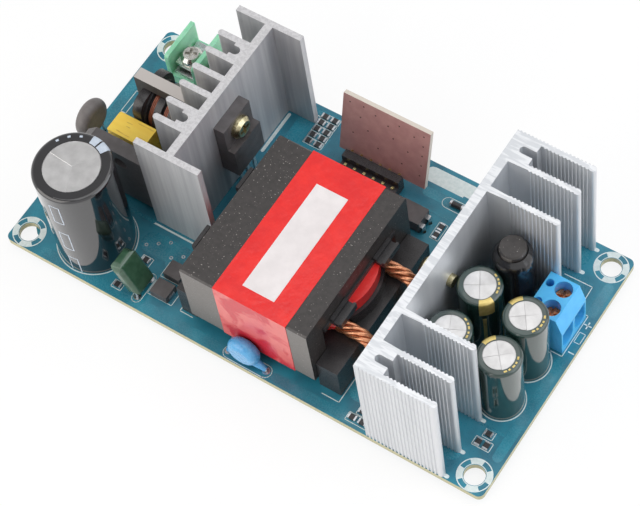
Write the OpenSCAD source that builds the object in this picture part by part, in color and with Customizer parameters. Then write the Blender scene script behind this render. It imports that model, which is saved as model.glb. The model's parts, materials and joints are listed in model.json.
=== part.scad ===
// Open frame power supply: circuit board with heatsinks, transformer and terminals.
// Millimetres. The underside of the board is z = 0 and its centre is the origin.
// X runs along the long side towards the output terminal, Z points up.

/* [Board] */
// Length of the circuit board
board_l = 127; // [126:0.5:129]
// Width of the circuit board
board_w = 66; // [66:0.5:68]
// Thickness of the circuit board
board_t = 1.6; // [1.2:0.1:2.4]
// Radius of the board corners
board_r = 1.5; // [0.5:0.25:2.5]
// Diameter of the four corner holes
corner_hole_d = 4.8; // [3.2:0.1:5.2]
// Distance of a corner hole from both board edges
corner_inset = 4; // [3.5:0.25:4.5]
// Length of every lead under the board
lead_tail = 1.5; // [1.2:0.1:2]
// Gap between a lead and its hole in the board
lead_gap = 0.15; // [0.1:0.05:0.25]
// Radial width of a solder joint at the board
solder_w = 0.5; // [0.35:0.05:0.6]

/* [Primary heatsink] */
// Height of the primary heatsink
sink1_h = 33.5; // [30:0.5:38]
// Position of its plain face along X
sink1_x = -25.7; // [-26:0.1:-25.4]
// Position of its middle along Y
sink1_y = 8.9; // [8.7:0.1:9.1]
// Length of the primary heatsink along Y
sink1_l = 41.4; // [41:0.1:42]
// Thickness of its base plate
sink1_base = 2; // [1.8:0.1:2.2]
// Thickness of its fins and end flanges
sink1_fin_t = 1.5; // [1.2:0.1:1.6]
// Reach of the fins from the base plate
sink1_fin_l = 8; // [7:0.25:8]
// Distance from fin to fin
sink1_pitch = 5.05; // [4.95:0.05:5.15]
// Reach of the end flanges past the plain face
sink1_flange = 7.3; // [6:0.1:7.3]
// Width of the pin slot
sink1_slot = 2.1; // [1.8:0.1:2.3]

/* [Primary transistor] */
// Position of the transistor along Y
q1_y = 8.1; // [7.5:0.1:8.8]
// Height of the body's lower end over the board
q1_z = 10; // [8:0.5:12]
// Width of a power transistor body
q_w = 10; // [9.6:0.1:10.4]
// Height of a power transistor body
q_h = 16.3; // [15.6:0.1:16.6]
// Thickness of its lower half
q_t = 4.6; // [4.2:0.1:4.8]
// Thickness of its upper half at the screw
q_tab = 2.8; // [2.5:0.1:3]
// Height of the thick lower half
q_step = 9.2; // [8.8:0.1:9.6]
// Height of the screw hole over the lower end
q_hole_z = 12.7; // [12.5:0.1:12.9]
// Radius of the round recess under the screw head
q_recess_r = 3.9; // [3.8:0.1:4.1]
// Spacing of the three leads
q_pitch = 2.54; // [2.4:0.02:2.6]
// Distance of the leads from the heatsink face
q_lead_x = 2.6; // [2.3:0.1:2.8]
// Diameter of the heatsink screws
screw_d = 3; // [2.6:0.1:3]
// Diameter of the heatsink screw heads
screw_head_d = 5.6; // [5:0.1:6]
// Height of the heatsink screw heads
screw_head_h = 1.7; // [1.5:0.1:2.2]

/* [Transformer] */
// Position of the transformer along X
tr_x = 3.1; // [2.9:0.1:3.2]
// Position of the transformer along Y
tr_y = -9.2; // [-9.3:0.1:-8.8]
// Height of the core over the board
core_z = 3.5; // [3.5:0.1:5]
// Length of the core along X
core_d = 32.6; // [31.6:0.1:32.8]
// Length of the core along Y
core_l = 39.4; // [38.8:0.1:39.6]
// Height of one core half
core_h = 10; // [9.6:0.1:12]
// Thickness of the back of a core half
core_back = 5; // [4.5:0.1:5.2]
// Width of an outer core leg
core_leg = 5.5; // [5:0.1:5.5]
// Half width of the middle core leg
core_mid = 6.5; // [6:0.1:6.5]
// Half of the straight length of the middle core leg
core_mid_a = 6; // [5:0.25:6]
// Air gap between the middle legs
core_air = 0.5; // [0.2:0.1:1]
// Chamfer on the long core edges
core_chamfer = 0.4; // [0.2:0.1:1]
// Wall of the bobbin tube and gap to the core
bobbin_wall = 0.9; // [0.7:0.1:1.2]
// Thickness of the bobbin flanges
bobbin_flange = 1.3; // [1:0.1:1.5]
// Reach of the flange tabs past the core
bobbin_tab = 3; // [2.8:0.1:3.2]
// Length of a flange tab along Y
bobbin_tab_l = 6; // [4:0.5:7]
// Distance between the two flange tabs of a side
bobbin_tab_gap = 11; // [10:0.5:12]
// Width of the pin rail on the output side
rail_out = 5.5; // [4:0.25:5.5]
// Width of the pin rail on the input side
rail_in = 3.9; // [3:0.1:4.1]
// Length of the pin rails
rail_l = 37; // [34:0.5:39]
// Height of the bobbin's skirt in front of the coil
skirt_h = 3.8; // [2:0.2:3.8]
// Radius of the wound coil across its width
coil_r = 13.2; // [12.4:0.1:13.2]
// Thickness of the tape around the coil
coil_tape = 0.3; // [0.2:0.1:0.6]
// Width of the tape around the core
tape_w = 18.75; // [14:0.25:24]
// Position of the core tape from the core's input end
tape_x = 8.7; // [6:0.1:8.8]
// Thickness of the core tape
tape_t = 0.1; // [0.05:0.05:0.2]
// Length of the label on the tape
label_l = 28.9; // [20:0.1:34]
// Width of the label on the tape
label_w = 8.1; // [6:0.1:12]
// Diameter of a transformer pin
tr_pin_d = 0.9; // [0.7:0.1:1]
// Spacing of the transformer pins
tr_pin_pitch = 6; // [5:0.5:8]
// Radius of a twisted output lead
litz_r = 1.8; // [1.5:0.1:1.8]
// Radius of a twisted output lead in the board
litz_end_r = 1.3; // [1:0.1:1.3]
// Distance of each output lead from the transformer's middle
litz_y = 8.6; // [8.2:0.1:9]
// Distance of the output leads past the pin rail
litz_x = 3; // [2.6:0.1:3]

/* [Output heatsink] */
// Height of the output heatsink
sink2_h = 33.5; // [30:0.5:38]
// Length of the output heatsink along Y
sink2_l = 65; // [64.6:0.1:65.2]
// Position of its plain face along X
sink2_x = 34.8; // [34.6:0.1:34.9]
// Thickness of its base plate
sink2_base = 2.2; // [2:0.1:2.2]
// Reach of the fins from the base plate
sink2_fin_l = 17.2; // [14:0.2:19]
// Thickness of the fins over their ribs
sink2_fin_t = 1.5; // [1.3:0.1:1.6]
// Distance of the second fins from the end fins
sink2_step1 = 6.5; // [6.3:0.1:6.7]
// Distance between the third fins
sink2_bay = 33.5; // [33.4:0.1:33.8]
// Distance from rib to rib
rib_pitch = 0.9; // [0.7:0.1:1.2]
// Depth of the grooves between the ribs
rib_depth = 0.2; // [0.1:0.05:0.3]
// Length of the plain root of a fin
rib_from = 4.6; // [4.2:0.2:7]
// Reach of the pin bosses from the base plate
sink2_boss = 4.2; // [4:0.1:4.2]
// Width of the pin slot
sink2_slot = 1.8; // [1.6:0.1:2]
// Height of the heatsink pins over the board
sink_pin_h = 8; // [5:0.5:12]
// Height of the output rectifier over the board
q2_z = 7.8; // [6:0.2:9]
// Length of the output screw past the base plate
q2_screw_out = 1.2; // [0.5:0.1:1.3]

/* [Output capacitors] */
// Diameter of an output capacitor
cap_d = 10; // [9.6:0.1:10]
// Height of an output capacitor
cap_h = 20.8; // [16:0.2:25]
// Position of the inner capacitors along X
cap_x = 43.3; // [43.2:0.1:43.4]
// Distance of the front capacitors from the heatsink's middle
cap_off = 10.3; // [10.1:0.1:10.5]
// Distance between the capacitors along X
cap_dx = 12; // [11.6:0.1:12.4]
// Distance between the inner capacitors along Y
cap_dy = 12.2; // [12.1:0.1:12.3]
// Offset of the outer back capacitor to the front
cap_skew = 1.5; // [1:0.1:1.6]
// Spacing of the leads of an output capacitor
cap_pitch = 5; // [4:0.5:6]
// Diameter of the bare disc on an output capacitor
cap_disc_d = 7; // [6:0.2:8]
// Diameter of a thin lead
lead_d = 0.6; // [0.5:0.05:0.7]
// Thickness of the sleeves of all capacitors
sleeve_t = 0.15; // [0.1:0.05:0.3]

/* [Output choke] */
// Position of the output choke along X
rod_x = 46; // [46:0.1:46.4]
// Distance of the output choke from the heatsink's middle
rod_off = 11.1; // [11:0.1:11.2]
// Diameter of the ferrite rod
rod_d = 6.1; // [5:0.1:6.5]
// Height of the rod's top over the board
rod_h = 25.6; // [20:0.2:28]
// Diameter of the choke over its sleeve
rod_sleeve_d = 9; // [8.4:0.1:9]
// Length of rod that shows over the sleeve
rod_show = 1.3; // [0.8:0.1:2]
// Spacing of the choke's leads
rod_pitch = 5; // [4:0.5:6]

/* [Output terminal] */
// Position of the terminal's back along X
dc_x = 52.4; // [52:0.1:52.6]
// Distance of the terminal's middle from the heatsink's middle
dc_off = 10.7; // [10.6:0.05:10.7]
// Length of the terminal along X
dc_l = 8.5; // [8.4:0.1:9]
// Height of the terminal
dc_h = 13.3; // [12.6:0.1:14]
// Pitch of the two poles
dc_pitch = 5.08; // [5:0.02:5.1]
// Length of the sloped front along X
dc_slope = 1.5; // [1:0.1:2]
// Height where the sloped front begins
dc_slope_z = 8.7; // [8.5:0.1:9.5]
// Distance of the screws from the back
dc_screw_x = 4.6; // [4.4:0.1:4.8]
// Diameter of the screw wells
dc_well_d = 4; // [3.8:0.1:4.2]
// Depth of the screw heads under the top
dc_sunk = 3; // [2.5:0.1:3.4]
// Width of a wire entry
dc_entry_w = 4.3; // [4.15:0.05:4.4]
// Height of a wire entry
dc_entry_h = 6.3; // [6:0.1:6.5]
// Height of a wire entry's lower end
dc_entry_z = 1.5; // [1.3:0.1:1.6]

/* [Input terminal] */
// Position of the input terminal's left face along X
ac_x = -55.2; // [-55.6:0.1:-55]
// Position of its front face along Y
ac_y = 21.5; // [21.3:0.1:21.7]
// Depth of the input terminal along Y
ac_l = 11.2; // [11:0.1:11.4]
// Height of its fences
ac_h = 10; // [9.5:0.1:11]
// Pitch of its poles
ac_pitch = 7.62; // [7.5:0.01:7.7]
// Thickness of a fence
ac_wall = 1.1; // [1:0.1:1.3]
// Thickness of its floor
ac_floor = 3; // [2.6:0.1:3.2]
// Distance of the screws from the front face
ac_screw_y = 4.5; // [4.3:0.1:4.7]
// Height of the screw heads' top over the board
ac_screw_z = 8.2; // [8:0.1:9]
// Diameter of its screw heads
ac_head_d = 5.2; // [5:0.1:5.6]
// Side of the square wire clamps
ac_clamp = 5.6; // [5.2:0.1:6]
// Thickness of the contact plates
ac_plate_t = 0.8; // [0.6:0.1:1]

/* [Filter parts] */
// Position of the box capacitor along X
box_x = -48.8; // [-49.2:0.1:-48.2]
// Position of the box capacitor along Y
box_y = 0.2; // [-0.3:0.1:0.6]
// Length of the box capacitor
box_l = 10.3; // [10:0.1:10.8]
// Width of the box capacitor
box_w = 5.5; // [5:0.1:5.8]
// Height of the box capacitor
box_h = 12; // [10:0.5:13]
// Position of the thermistor along X
ntc_x = -60.5; // [-60.8:0.1:-60.2]
// Position of the thermistor along Y
ntc_y = -0.5; // [-2:0.1:1]
// Diameter of the thermistor
ntc_d = 9.6; // [9:0.1:10]
// Thickness of the thermistor
ntc_t = 3.5; // [3:0.1:4]
// Height of the thermistor's middle over the board
ntc_z = 9; // [7:0.1:10]
// Position of the input choke along X
choke_x = -44.25; // [-44.5:0.05:-44.25]
// Position of the input choke along Y
choke_y = 9.9; // [9.8:0.1:10.2]
// Length of the choke core
choke_l = 16.5; // [16.2:0.1:16.6]
// Height of the choke core
choke_h = 19.5; // [19.3:0.1:20.5]
// Thickness of the choke core along Y
choke_t = 2.9; // [2.6:0.1:3]
// Height of the bars of the choke core
choke_bar = 3; // [2.7:0.1:3]
// Width of the sides of the choke core
choke_side = 2.4; // [2.2:0.1:2.5]
// Thickness of the base plate under the choke core
choke_floor = 0.6; // [0.5:0.1:1]
// Width of the choke base along Y
choke_base_w = 10.6; // [10:0.1:10.8]
// Height of the choke base
choke_base_h = 3.2; // [2.6:0.1:3.4]
// Thickness of a bobbin flange of the choke
choke_flange = 0.8; // [0.6:0.1:0.9]
// Reach of the bobbin's wide end round the core
choke_hook = 0.6; // [0.4:0.1:1]
// Radius of the copper sections
choke_coil_r = 5.5; // [5:0.1:5.9]
// Position of the bulk capacitor along X
bulk_x = -44.7; // [-46:0.1:-44]
// Position of the bulk capacitor along Y
bulk_y = -22.5; // [-23:0.1:-21.5]
// Diameter of the bulk capacitor
bulk_d = 18.2; // [18:0.1:19]
// Height of the bulk capacitor
bulk_h = 31.2; // [25:0.2:36]
// Diameter of the bare disc on the bulk capacitor
bulk_disc_d = 13.1; // [12:0.1:14]
// Spacing of the leads of the bulk capacitor
bulk_pitch = 7.5; // [7:0.5:8]
// Position of the bridge rectifier's left end along X
bridge_x = -54.7; // [-55.2:0.1:-54.2]
// Length of the bridge rectifier
bridge_l = 22.3; // [22:0.1:22.6]
// Thickness of the bridge rectifier
bridge_t = 3.5; // [3.2:0.1:3.8]
// Height of the bridge rectifier's body
bridge_h = 18.3; // [17.5:0.1:19]
// Height of the bridge rectifier's lower end over the board
bridge_z = 2; // [1.5:0.1:3]
// Chamfer at the top left of the bridge rectifier
bridge_cut = 3; // [2.5:0.1:3.5]
// Lead spacing of the bridge rectifier
bridge_pitch = 5.08; // [5:0.02:5.1]

/* [Small parts] */
// Position of the film capacitor along X
film_x = -28; // [-28.5:0.1:-27.5]
// Position of the film capacitor along Y
film_y = -27.65; // [-28:0.05:-27]
// Lead spacing of the film capacitor
film_pitch = 5.08; // [4.5:0.02:5.1]
// Width of the film capacitor along Y
film_w = 6.6; // [6:0.1:7]
// Thickness of the film capacitor
film_t = 3.5; // [3:0.1:3.8]
// Length of the film capacitor's body
film_l = 10.5; // [9:0.1:11]
// Lean of the film capacitor towards the bulk capacitor
film_lean = 23; // [10:1:25]
// Position of the disc capacitor along X
disc_x = 2.2; // [1.6:0.1:2.8]
// Position of the disc capacitor along Y
disc_y = -31; // [-31.1:0.05:-31]
// Diameter of the disc capacitor
disc_d = 8; // [7:0.1:8.4]
// Thickness of the disc capacitor
disc_t = 3.6; // [3:0.1:3.6]
// Height of the disc capacitor's middle over the board
disc_z = 4.4; // [4.3:0.1:4.8]
// Lead spacing of the disc capacitor
disc_pitch = 10; // [9:0.5:11]
// Position of the control board's left edge along X
ctrl_x = -8.6; // [-9:0.1:-8.2]
// Position of the control board's lower front edge along Y
ctrl_y = 24; // [23.8:0.1:24.2]
// Height of the control board's lower edge over the board
ctrl_z = 3.3; // [3:0.1:3.4]
// Length of the control board along X
ctrl_l = 22.9; // [22:0.1:24]
// Width of the control board
ctrl_w = 17.25; // [15:0.25:18]
// Thickness of the control board
ctrl_t = 1.2; // [1:0.1:1.6]
// Lean of the control board to the back
ctrl_lean = 15; // [13:1:16]
// Pitch of the header pins
head_pitch = 2.54; // [2.5:0.01:2.54]
// Number of header pins
head_n = 6; // [6:1:7]
// Position of the header's front face along Y
head_y = 20; // [19.9:0.1:20.1]
// Depth of the header strip
head_w = 3.7; // [3.6:0.1:3.7]
// Height of the header strip
head_h = 2.5; // [2.4:0.1:2.6]
// Side of a header pin
head_pin = 0.64; // [0.5:0.02:0.7]
// Position of the optocoupler along X
opto_x = 15.05; // [14.8:0.05:16]
// Position of the optocoupler along Y
opto_y = 17.4; // [17:0.1:17.4]
// Length of the optocoupler across its legs
opto_l = 6.5; // [6.3:0.1:6.6]
// Width of the optocoupler
opto_w = 4.6; // [4.4:0.1:4.8]
// Height of the optocoupler's body
opto_h = 3.5; // [3:0.1:3.7]
// Length of a small chip part
chip_l = 2; // [1.8:0.1:2.1]
// Width of a small chip part
chip_w = 1.25; // [1.1:0.05:1.3]
// Height of a small chip part
chip_h = 0.55; // [0.4:0.05:0.7]
// Length of a diode block's body
diode_l = 4.4; // [4:0.1:4.6]
// Width of a diode block's body
diode_w = 3.9; // [3.5:0.1:4]
// Height of a diode block
diode_h = 2.3; // [2:0.1:2.5]
// Diameter of the glass diode
glass_d = 1.5; // [1.3:0.1:1.7]
// Length of the glass diode
glass_l = 3.4; // [3.2:0.1:3.6]

/* [Part shown] */
// Name of the part to draw, or all

/* [Hidden] */
$fn = 48;
// Gap of a close fit
fit = 0.02;
top = board_t;
tail = lead_tail;
y0 = -board_w / 2;

// primary heatsink and transistor
sink1_back = sink1_x - sink1_base;
sink1_tip = sink1_back - sink1_fin_l;
sink1_boss_x = sink1_back - 2.8;
sink1_slot_x = sink1_back - 0.7 - sink1_slot / 2;
sink1_pin_r = sink1_slot / 2 - fit;
sink1_slots_y = [for (s = [-1, 1]) sink1_y + s * 2 * sink1_pitch];
sink1_in_y = sink1_y - sink1_l / 2 + sink1_fin_t;

// transformer
core_mid_z = core_z + core_h;
window_y = core_l / 2 - core_leg;
tube_r = core_mid + bobbin_wall;
flange_y = window_y - 0.2;
low_flange_z = core_z + core_back + 0.1;
coil_z = low_flange_z + bobbin_flange;
coil_top = core_z + 2 * core_h - core_back - 0.1 - bobbin_flange;
rail_gap = 0.1;
rail_out_x = core_d / 2 + rail_gap;
litz_z = coil_z + litz_r + 0.1;
litz_down_x = tr_x + rail_out_x + rail_out + litz_x - 0.1;

// output heatsink
sink2_y = y0 + sink2_l / 2;
sink2_front = sink2_x + sink2_base;
sink2_tip = sink2_front + sink2_fin_l;
sink2_end = (sink2_l - sink2_fin_t) / 2;
sink2_fins = [for (s = [-1, 1], a = [sink2_end, sink2_end - sink2_step1, sink2_bay / 2])
    sink2_y + s * a];
sink2_slots_y = [for (s = [-1, 1]) sink2_y + s * (sink2_end - sink2_step1 / 2)];
sink2_slot_x = sink2_front + 0.6 + sink2_slot / 2;
sink2_pin_r = sink2_slot / 2 - fit;

// output parts keep their places between the fins
cap_y = sink2_y - cap_off;
rod_y = sink2_y + rod_off;
dc_y = sink2_y + dc_off;
// output capacitors: inner back, outer back, inner front, outer front
caps = [[cap_x, cap_y + cap_dy], [cap_x + cap_dx, cap_y + cap_dy - cap_skew],
    [cap_x, cap_y], [cap_x + cap_dx, cap_y]];

// terminals
dc_poles = [for (s = [-1, 1]) dc_y + s * dc_pitch / 2];
dc_axis = dc_x + dc_screw_x;
dc_w = 2 * dc_pitch;
dc_front = dc_x + dc_l;
cage_l = 3.8;
cage_w = 4;
cage_z = dc_entry_z - 0.3;
cage_h = 7.3;
ac_poles = [for (k = [0, 1]) ac_x + ac_wall / 2 + (k + 0.5) * ac_pitch];
ac_axis = ac_y + ac_screw_y;
ac_pin_y = ac_y + ac_l - 2.4;
ac_w = 2 * ac_pitch + ac_wall;
ac_head_h = 2;
ac_clamp_t = 1;

// choke
choke_z = choke_floor;
choke_axis_z = choke_z + choke_h / 2;
choke_gap_r = choke_h / 2 - choke_bar;
choke_bore_r = sqrt(pow(choke_bar / 2, 2) + pow(choke_t / 2, 2)) + 0.06;
choke_in_l = choke_l - 2 * choke_side - 0.2;
choke_step = (choke_in_l - choke_flange) / 3;
choke_end_r = choke_gap_r - 0.15;

// control board
head_l = head_n * head_pitch;
head_x = ctrl_x + ctrl_l / 2 - 1.65;
head_mid_y = head_y + 1;
head_back_y = head_y + head_w - 0.5;
head_leg_z = 0.7;

// places of the small parts: x, y, turn
resistors = concat(
    [for (i = [0, 1], k = [0:4]) [-17.1 + i * 2.6, 23.4 + k * 1.85, 0]],
    [[21.7, 16.6, 90], [21.7, 18.9, 90], [56.2, sink2_y - 21.5, 90], [29.9, -30.9, 0], [-33.6, -30, 0]]);
ceramics = [[58.2, sink2_y - 21.5, 90], [57.2, sink2_y - 18.9, 0], [32.5, -30.9, 0], [31.2, -28.6, 0],
    [-31.6, -23.6, 0], [-31.6, -21.6, 0]];
diodes = [[-23.3, -26.4], [-23.3, -21.2]];
glass_at = [22, 25.25];

// lead places under the board: x, y, radius
function pair_x(x, y, pitch, r) = [for (s = [-1, 1]) [x + s * pitch / 2, y, r]];
function pair_y(x, y, pitch, r) = [for (s = [-1, 1]) [x, y + s * pitch / 2, r]];
function diag(a, b) = sqrt(a * a + b * b) / 2;
q_lead = [0.5, 0.8];
q_legs = [for (k = [-1, 0, 1]) k * q_pitch];
ac_pin = [1.2, ac_plate_t];
dc_pin = [0.8, 1];
opto_leg = [0.25, 0.6];
opto_pitch = opto_l + 1.12;
bridge_lead = [1, 0.5];
bulk_lead_d = lead_d + 0.2;
choke_pins = [for (i = [-1, 1], j = [-1, 1])
    [choke_x + i * choke_step, choke_y + j * (choke_base_w / 2 - 1), 0.4]];
tr_pins = concat(
    [for (k = [-2:2]) [tr_x - rail_out_x - rail_in / 2, tr_y + k * tr_pin_pitch, tr_pin_d / 2]],
    [for (k = [-2:2]) [tr_x + rail_out_x + rail_out / 2, tr_y + k * tr_pin_pitch, tr_pin_d / 2]]);
litz_ends = [for (s = [-1, 1]) [litz_down_x, tr_y + s * litz_y, litz_end_r * 1.08]];
sink_pins = concat(
    [for (y = sink1_slots_y) [sink1_slot_x, y, sink1_pin_r]],
    [for (y = sink2_slots_y) [sink2_slot_x, y, sink2_pin_r]]);
head_pins = [for (k = [0:head_n - 1])
    [head_x + (k - (head_n - 1) / 2) * head_pitch, head_mid_y, diag(head_pin, head_pin)]];
opto_pins = [for (i = [-1, 1], j = [-1, 1])
    [opto_x + i * opto_pitch / 2, opto_y + j * 1.27, diag(opto_leg[0], opto_leg[1])]];
q1_pins = [for (k = q_legs) [sink1_x + q_lead_x, q1_y + k, diag(q_lead[0], q_lead[1])]];
q2_pins = [for (k = q_legs) [sink2_x - q_lead_x, sink2_y + k, diag(q_lead[0], q_lead[1])]];
bridge_y = sink1_in_y + bridge_t / 2;
bridge_pins = [for (k = [-1.5:1.5])
    [bridge_x + bridge_l / 2 + k * bridge_pitch, bridge_y, diag(bridge_lead[0], bridge_lead[1])]];
ac_pins = [for (x = ac_poles) [x, ac_pin_y, diag(ac_pin[0], ac_pin[1])]];
dc_pins = [for (y = dc_poles) [dc_axis, y, diag(dc_pin[0], dc_pin[1])]];
cap_pins = [for (c = caps) each pair_x(c[0], c[1], cap_pitch, lead_d / 2)];
lead_sites = concat(cap_pins, choke_pins, tr_pins, litz_ends, sink_pins, head_pins, opto_pins,
    q1_pins, q2_pins, bridge_pins, ac_pins, dc_pins,
    pair_x(bulk_x, bulk_y, bulk_pitch, bulk_lead_d / 2),
    pair_x(box_x, box_y, 7.5, lead_d / 2),
    pair_y(ntc_x, ntc_y, 5, lead_d / 2),
    pair_y(film_x, film_y, film_pitch, lead_d / 2),
    pair_x(disc_x + 0.3, disc_y, disc_pitch, lead_d / 2),
    pair_y(rod_x, rod_y, rod_pitch, 0.4));

// Rounded rectangle around the origin
module round_rect(l, w, r) {
    square([l - 2 * r, w], center = true);
    square([l, w - 2 * r], center = true);
    for (i = [-1, 1], j = [-1, 1])
        translate([i * (l / 2 - r), j * (w / 2 - r)])
            circle(r);
}

// Block from a low corner to a high corner
module block(lo, hi) {
    translate(lo)
        cube(hi - lo);
}

// Block around a point in the plane, from one height to another
module post(x, y, l, w, z1, z2) {
    block([x - l / 2, y - w / 2, z1], [x + l / 2, y + w / 2, z2]);
}

// Round pin from one height to another
module pin(x, y, r, z1, z2) {
    translate([x, y, z1])
        cylinder(h = z2 - z1, r = r);
}

// Shape with two round ends along X
module track(a, r) {
    square([2 * a, 2 * r], center = true);
    for (s = [-1, 1])
        translate([s * a, 0])
            circle(r);
}

// Screw with its head over z = 0 and a cross slot in the head
module cross_screw(d, head_d, head_h, length) {
    difference() {
        union() {
            cylinder(h = head_h * 0.55, d = head_d);
            translate([0, 0, head_h * 0.55])
                cylinder(h = head_h * 0.45, d1 = head_d, d2 = head_d * 0.72);
        }
        for (a = [0, 90])
            rotate([0, 0, a])
                post(0, 0, head_d * 0.56, head_d * 0.15, head_h * 0.45, head_h + 1);
    }
    translate([0, 0, -length])
        cylinder(h = length, d = d);
}

// Disc with a round rim, its axis along X
module round_disc(d, t) {
    rotate([0, 90, 0])
        rotate_extrude()
            intersection() {
                translate([0, -t])
                    square([d, 2 * t]);
                union() {
                    translate([0, -t / 2])
                        square([d / 2 - t / 2, t]);
                    translate([d / 2 - t / 2, 0])
                        circle(t / 2);
                }
            }
}

// Half section of a can with a round top edge
module can_half(r, h, c) {
    square([r, h - c]);
    square([r - c, h]);
    translate([r - c, h - c])
        circle(c);
}

// Shrink sleeve around a can
module can_sleeve(d, h, disc_d) {
    rotate_extrude()
        difference() {
            can_half(d / 2, h, 0.8);
            translate([0, sleeve_t])
                can_half(d / 2 - sleeve_t, h - 2 * sleeve_t, 0.8 - sleeve_t);
            translate([0, h - 2])
                square([disc_d / 2, 4]);
            translate([0, -1])
                square([d / 2 - 1, 2]);
        }
}

// Aluminium can with a groove near its foot, a hollow for the seal and scored vents
module can_body(d, h, disc_d, vents) {
    r = d / 2 - sleeve_t;
    difference() {
        translate([0, 0, sleeve_t])
            rotate_extrude()
                difference() {
                    can_half(r, h - 2 * sleeve_t, 0.8 - sleeve_t);
                    square([r - 0.5, 1.6]);
                }
        for (k = [0:vents - 1])
            rotate([0, 0, 90 + k * 360 / vents])
                block([vents % 2 == 0 ? 0 : 0.1, -0.12, h - sleeve_t - 0.12],
                    [disc_d * 0.42, 0.12, h]);
    }
}

// Rubber seal in the foot of a can
module can_seal(d, pitch, lead_r) {
    difference() {
        translate([0, 0, sleeve_t])
            cylinder(h = 1.6, r = d / 2 - sleeve_t - 0.5 - fit);
        for (s = [-1, 1])
            pin(s * pitch / 2, 0, lead_r + fit, -1, 3);
    }
}

module can_leads(pitch, lead_r) {
    for (s = [-1, 1])
        pin(s * pitch / 2, 0, lead_r, -top - tail, sleeve_t + 1.6);
}

// Power transistor body: X away from the heatsink, Z up, origin at its lower end
module power_body() {
    difference() {
        union() {
            block([0, -q_w / 2, 0], [q_tab, q_w / 2, q_h]);
            difference() {
                block([0, -q_w / 2, 0], [q_t, q_w / 2, q_step]);
                translate([q_tab, 0, q_hole_z])
                    rotate([0, 90, 0])
                        cylinder(h = q_t, r = q_recess_r);
            }
        }
        translate([-1, 0, q_hole_z])
            rotate([0, 90, 0])
                cylinder(h = q_t + 2, d = screw_d + 2 * fit);
    }
}

// Three leads of a power transistor whose body starts at height z
module power_leads(z) {
    for (k = q_legs) {
        post(q_lead_x, k, q_lead[0], q_lead[1], -z - top - tail, 0);
        post(q_lead_x, k, q_lead[0], 1.3, -3, 0);
    }
}

// One core half with its back up, origin in the mating plane
module core_half() {
    a = core_l / 2;
    c = core_chamfer;
    rotate([90, 0, 90])
        translate([0, 0, -core_d / 2])
            linear_extrude(core_d)
                polygon([[-a, 0], [-a, core_h - c], [-a + c, core_h], [a - c, core_h],
                    [a, core_h - c], [a, 0], [window_y, 0], [window_y, core_h - core_back],
                    [-window_y, core_h - core_back], [-window_y, 0]]);
    translate([0, 0, core_air / 2])
        linear_extrude(core_h - core_back - core_air / 2)
            track(core_mid_a, core_mid);
}

module at_transformer() {
    translate([tr_x, tr_y, top])
        children();
}

// Straight start of the output leads, wide enough to cut their way out of the coil
module litz_ways(grow) {
    for (s = [-1, 1])
        translate([12, s * litz_y, litz_z])
            rotate([0, 90, 0])
                cylinder(h = 12, r = litz_r * 1.08 + grow);
}

// Smooth curve of order three near its points, the ends held by repeated points
function bend(p, i, u) = (pow(1 - u, 3) * p[i] + (3 * pow(u, 3) - 6 * u * u + 4) * p[i + 1]
    + (-3 * pow(u, 3) + 3 * u * u + 3 * u + 1) * p[i + 2] + pow(u, 3) * p[i + 3]) / 6;
function curve(p, n) = concat(
    [for (i = [0:len(p) - 4], k = [0:n - 1]) bend(p, i, k / n)],
    [bend(p, len(p) - 4, 1)]);
function unit(v) = v / norm(v);
function along(c, i) = unit(c[min(i + 1, len(c) - 1)] - c[max(i - 1, 0)]);

// Twisted lead of six strands along a curve, from radius r1 to radius r2
module twisted(c, r1, r2, turn) {
    sides = 12;
    last = len(c) - 1;
    points = [for (i = [0:last], j = [0:sides - 1])
        let (t = along(c, i), u = unit(cross([0, 1, 0], t)), v = cross(t, u),
            a = j * 360 / sides + i * turn,
            r = (r1 + (r2 - r1) * min(1, 1.3 * i / last)) * (j % 2 == 0 ? 1.08 : 0.9))
        c[i] + r * (cos(a) * u + sin(a) * v)];
    walls = [for (i = [0:last - 1], j = [0:sides - 1])
        let (k = (j + 1) % sides, a = i * sides, b = a + sides)
        each [[a + j, b + j, b + k], [a + j, b + k, a + k]]];
    polyhedron(points = points,
        faces = concat([[for (j = [0:sides - 1]) j]], walls,
            [[for (j = [sides - 1:-1:0]) last * sides + j]]));
}

// Edge of a fin: ribs of a given pitch from x1 to x2 at height y, grooves towards the middle
function ribs(x1, x2, y, depth) =
    let (n = max(1, floor((x2 - x1) / rib_pitch)), p = (x2 - x1) / n)
    [for (k = [0:n - 1], q = [[0, 1], [0.3, 1], [0.45, 0], [0.85, 0]])
        [x1 + (k + q[0]) * p, y - q[1] * depth]];
function turned(p) = [for (k = [len(p) - 1:-1:0]) p[k]];

// Fin of the output heatsink from x1 to its round tip; low and high give each face's first rib
module ribbed_fin(x1, low, high) {
    t = sink2_fin_t / 2;
    x2 = sink2_tip - t;
    polygon(concat([[x1, -t]], ribs(low, x2, -t, -rib_depth), [[x2, -t], [x2, t]],
        turned(ribs(high, x2, t, rib_depth)), [[x1, t]]));
    translate([x2, 0])
        circle(t);
}

module at_control() {
    translate([ctrl_x + ctrl_l / 2, ctrl_y, top + ctrl_z])
        rotate([-ctrl_lean, 0, 0])
            children();
}

// Header pins, made thicker all round by a gap
module header_pins(gap) {
    w = head_pin + 2 * gap;
    v = w - 0.06;
    u = w - 0.12;
    for (p = head_pins) {
        x = p[0] - ctrl_x - ctrl_l / 2;
        post(p[0], p[1], w, w, -tail - gap, top + head_h + 0.3 + gap);
        block([p[0] - u / 2, p[1], top + 1.5 - u / 2], [p[0] + u / 2, head_back_y, top + 1.5 + u / 2]);
        post(p[0], head_back_y, v, v, top + 1.5 - v / 2, top + ctrl_z + head_leg_z + 0.2);
        at_control()
            block([x - u / 2, head_back_y - ctrl_y - 0.1, head_leg_z - u / 2],
                [x + u / 2, ctrl_t + 1, head_leg_z + u / 2]);
    }
}

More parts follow.
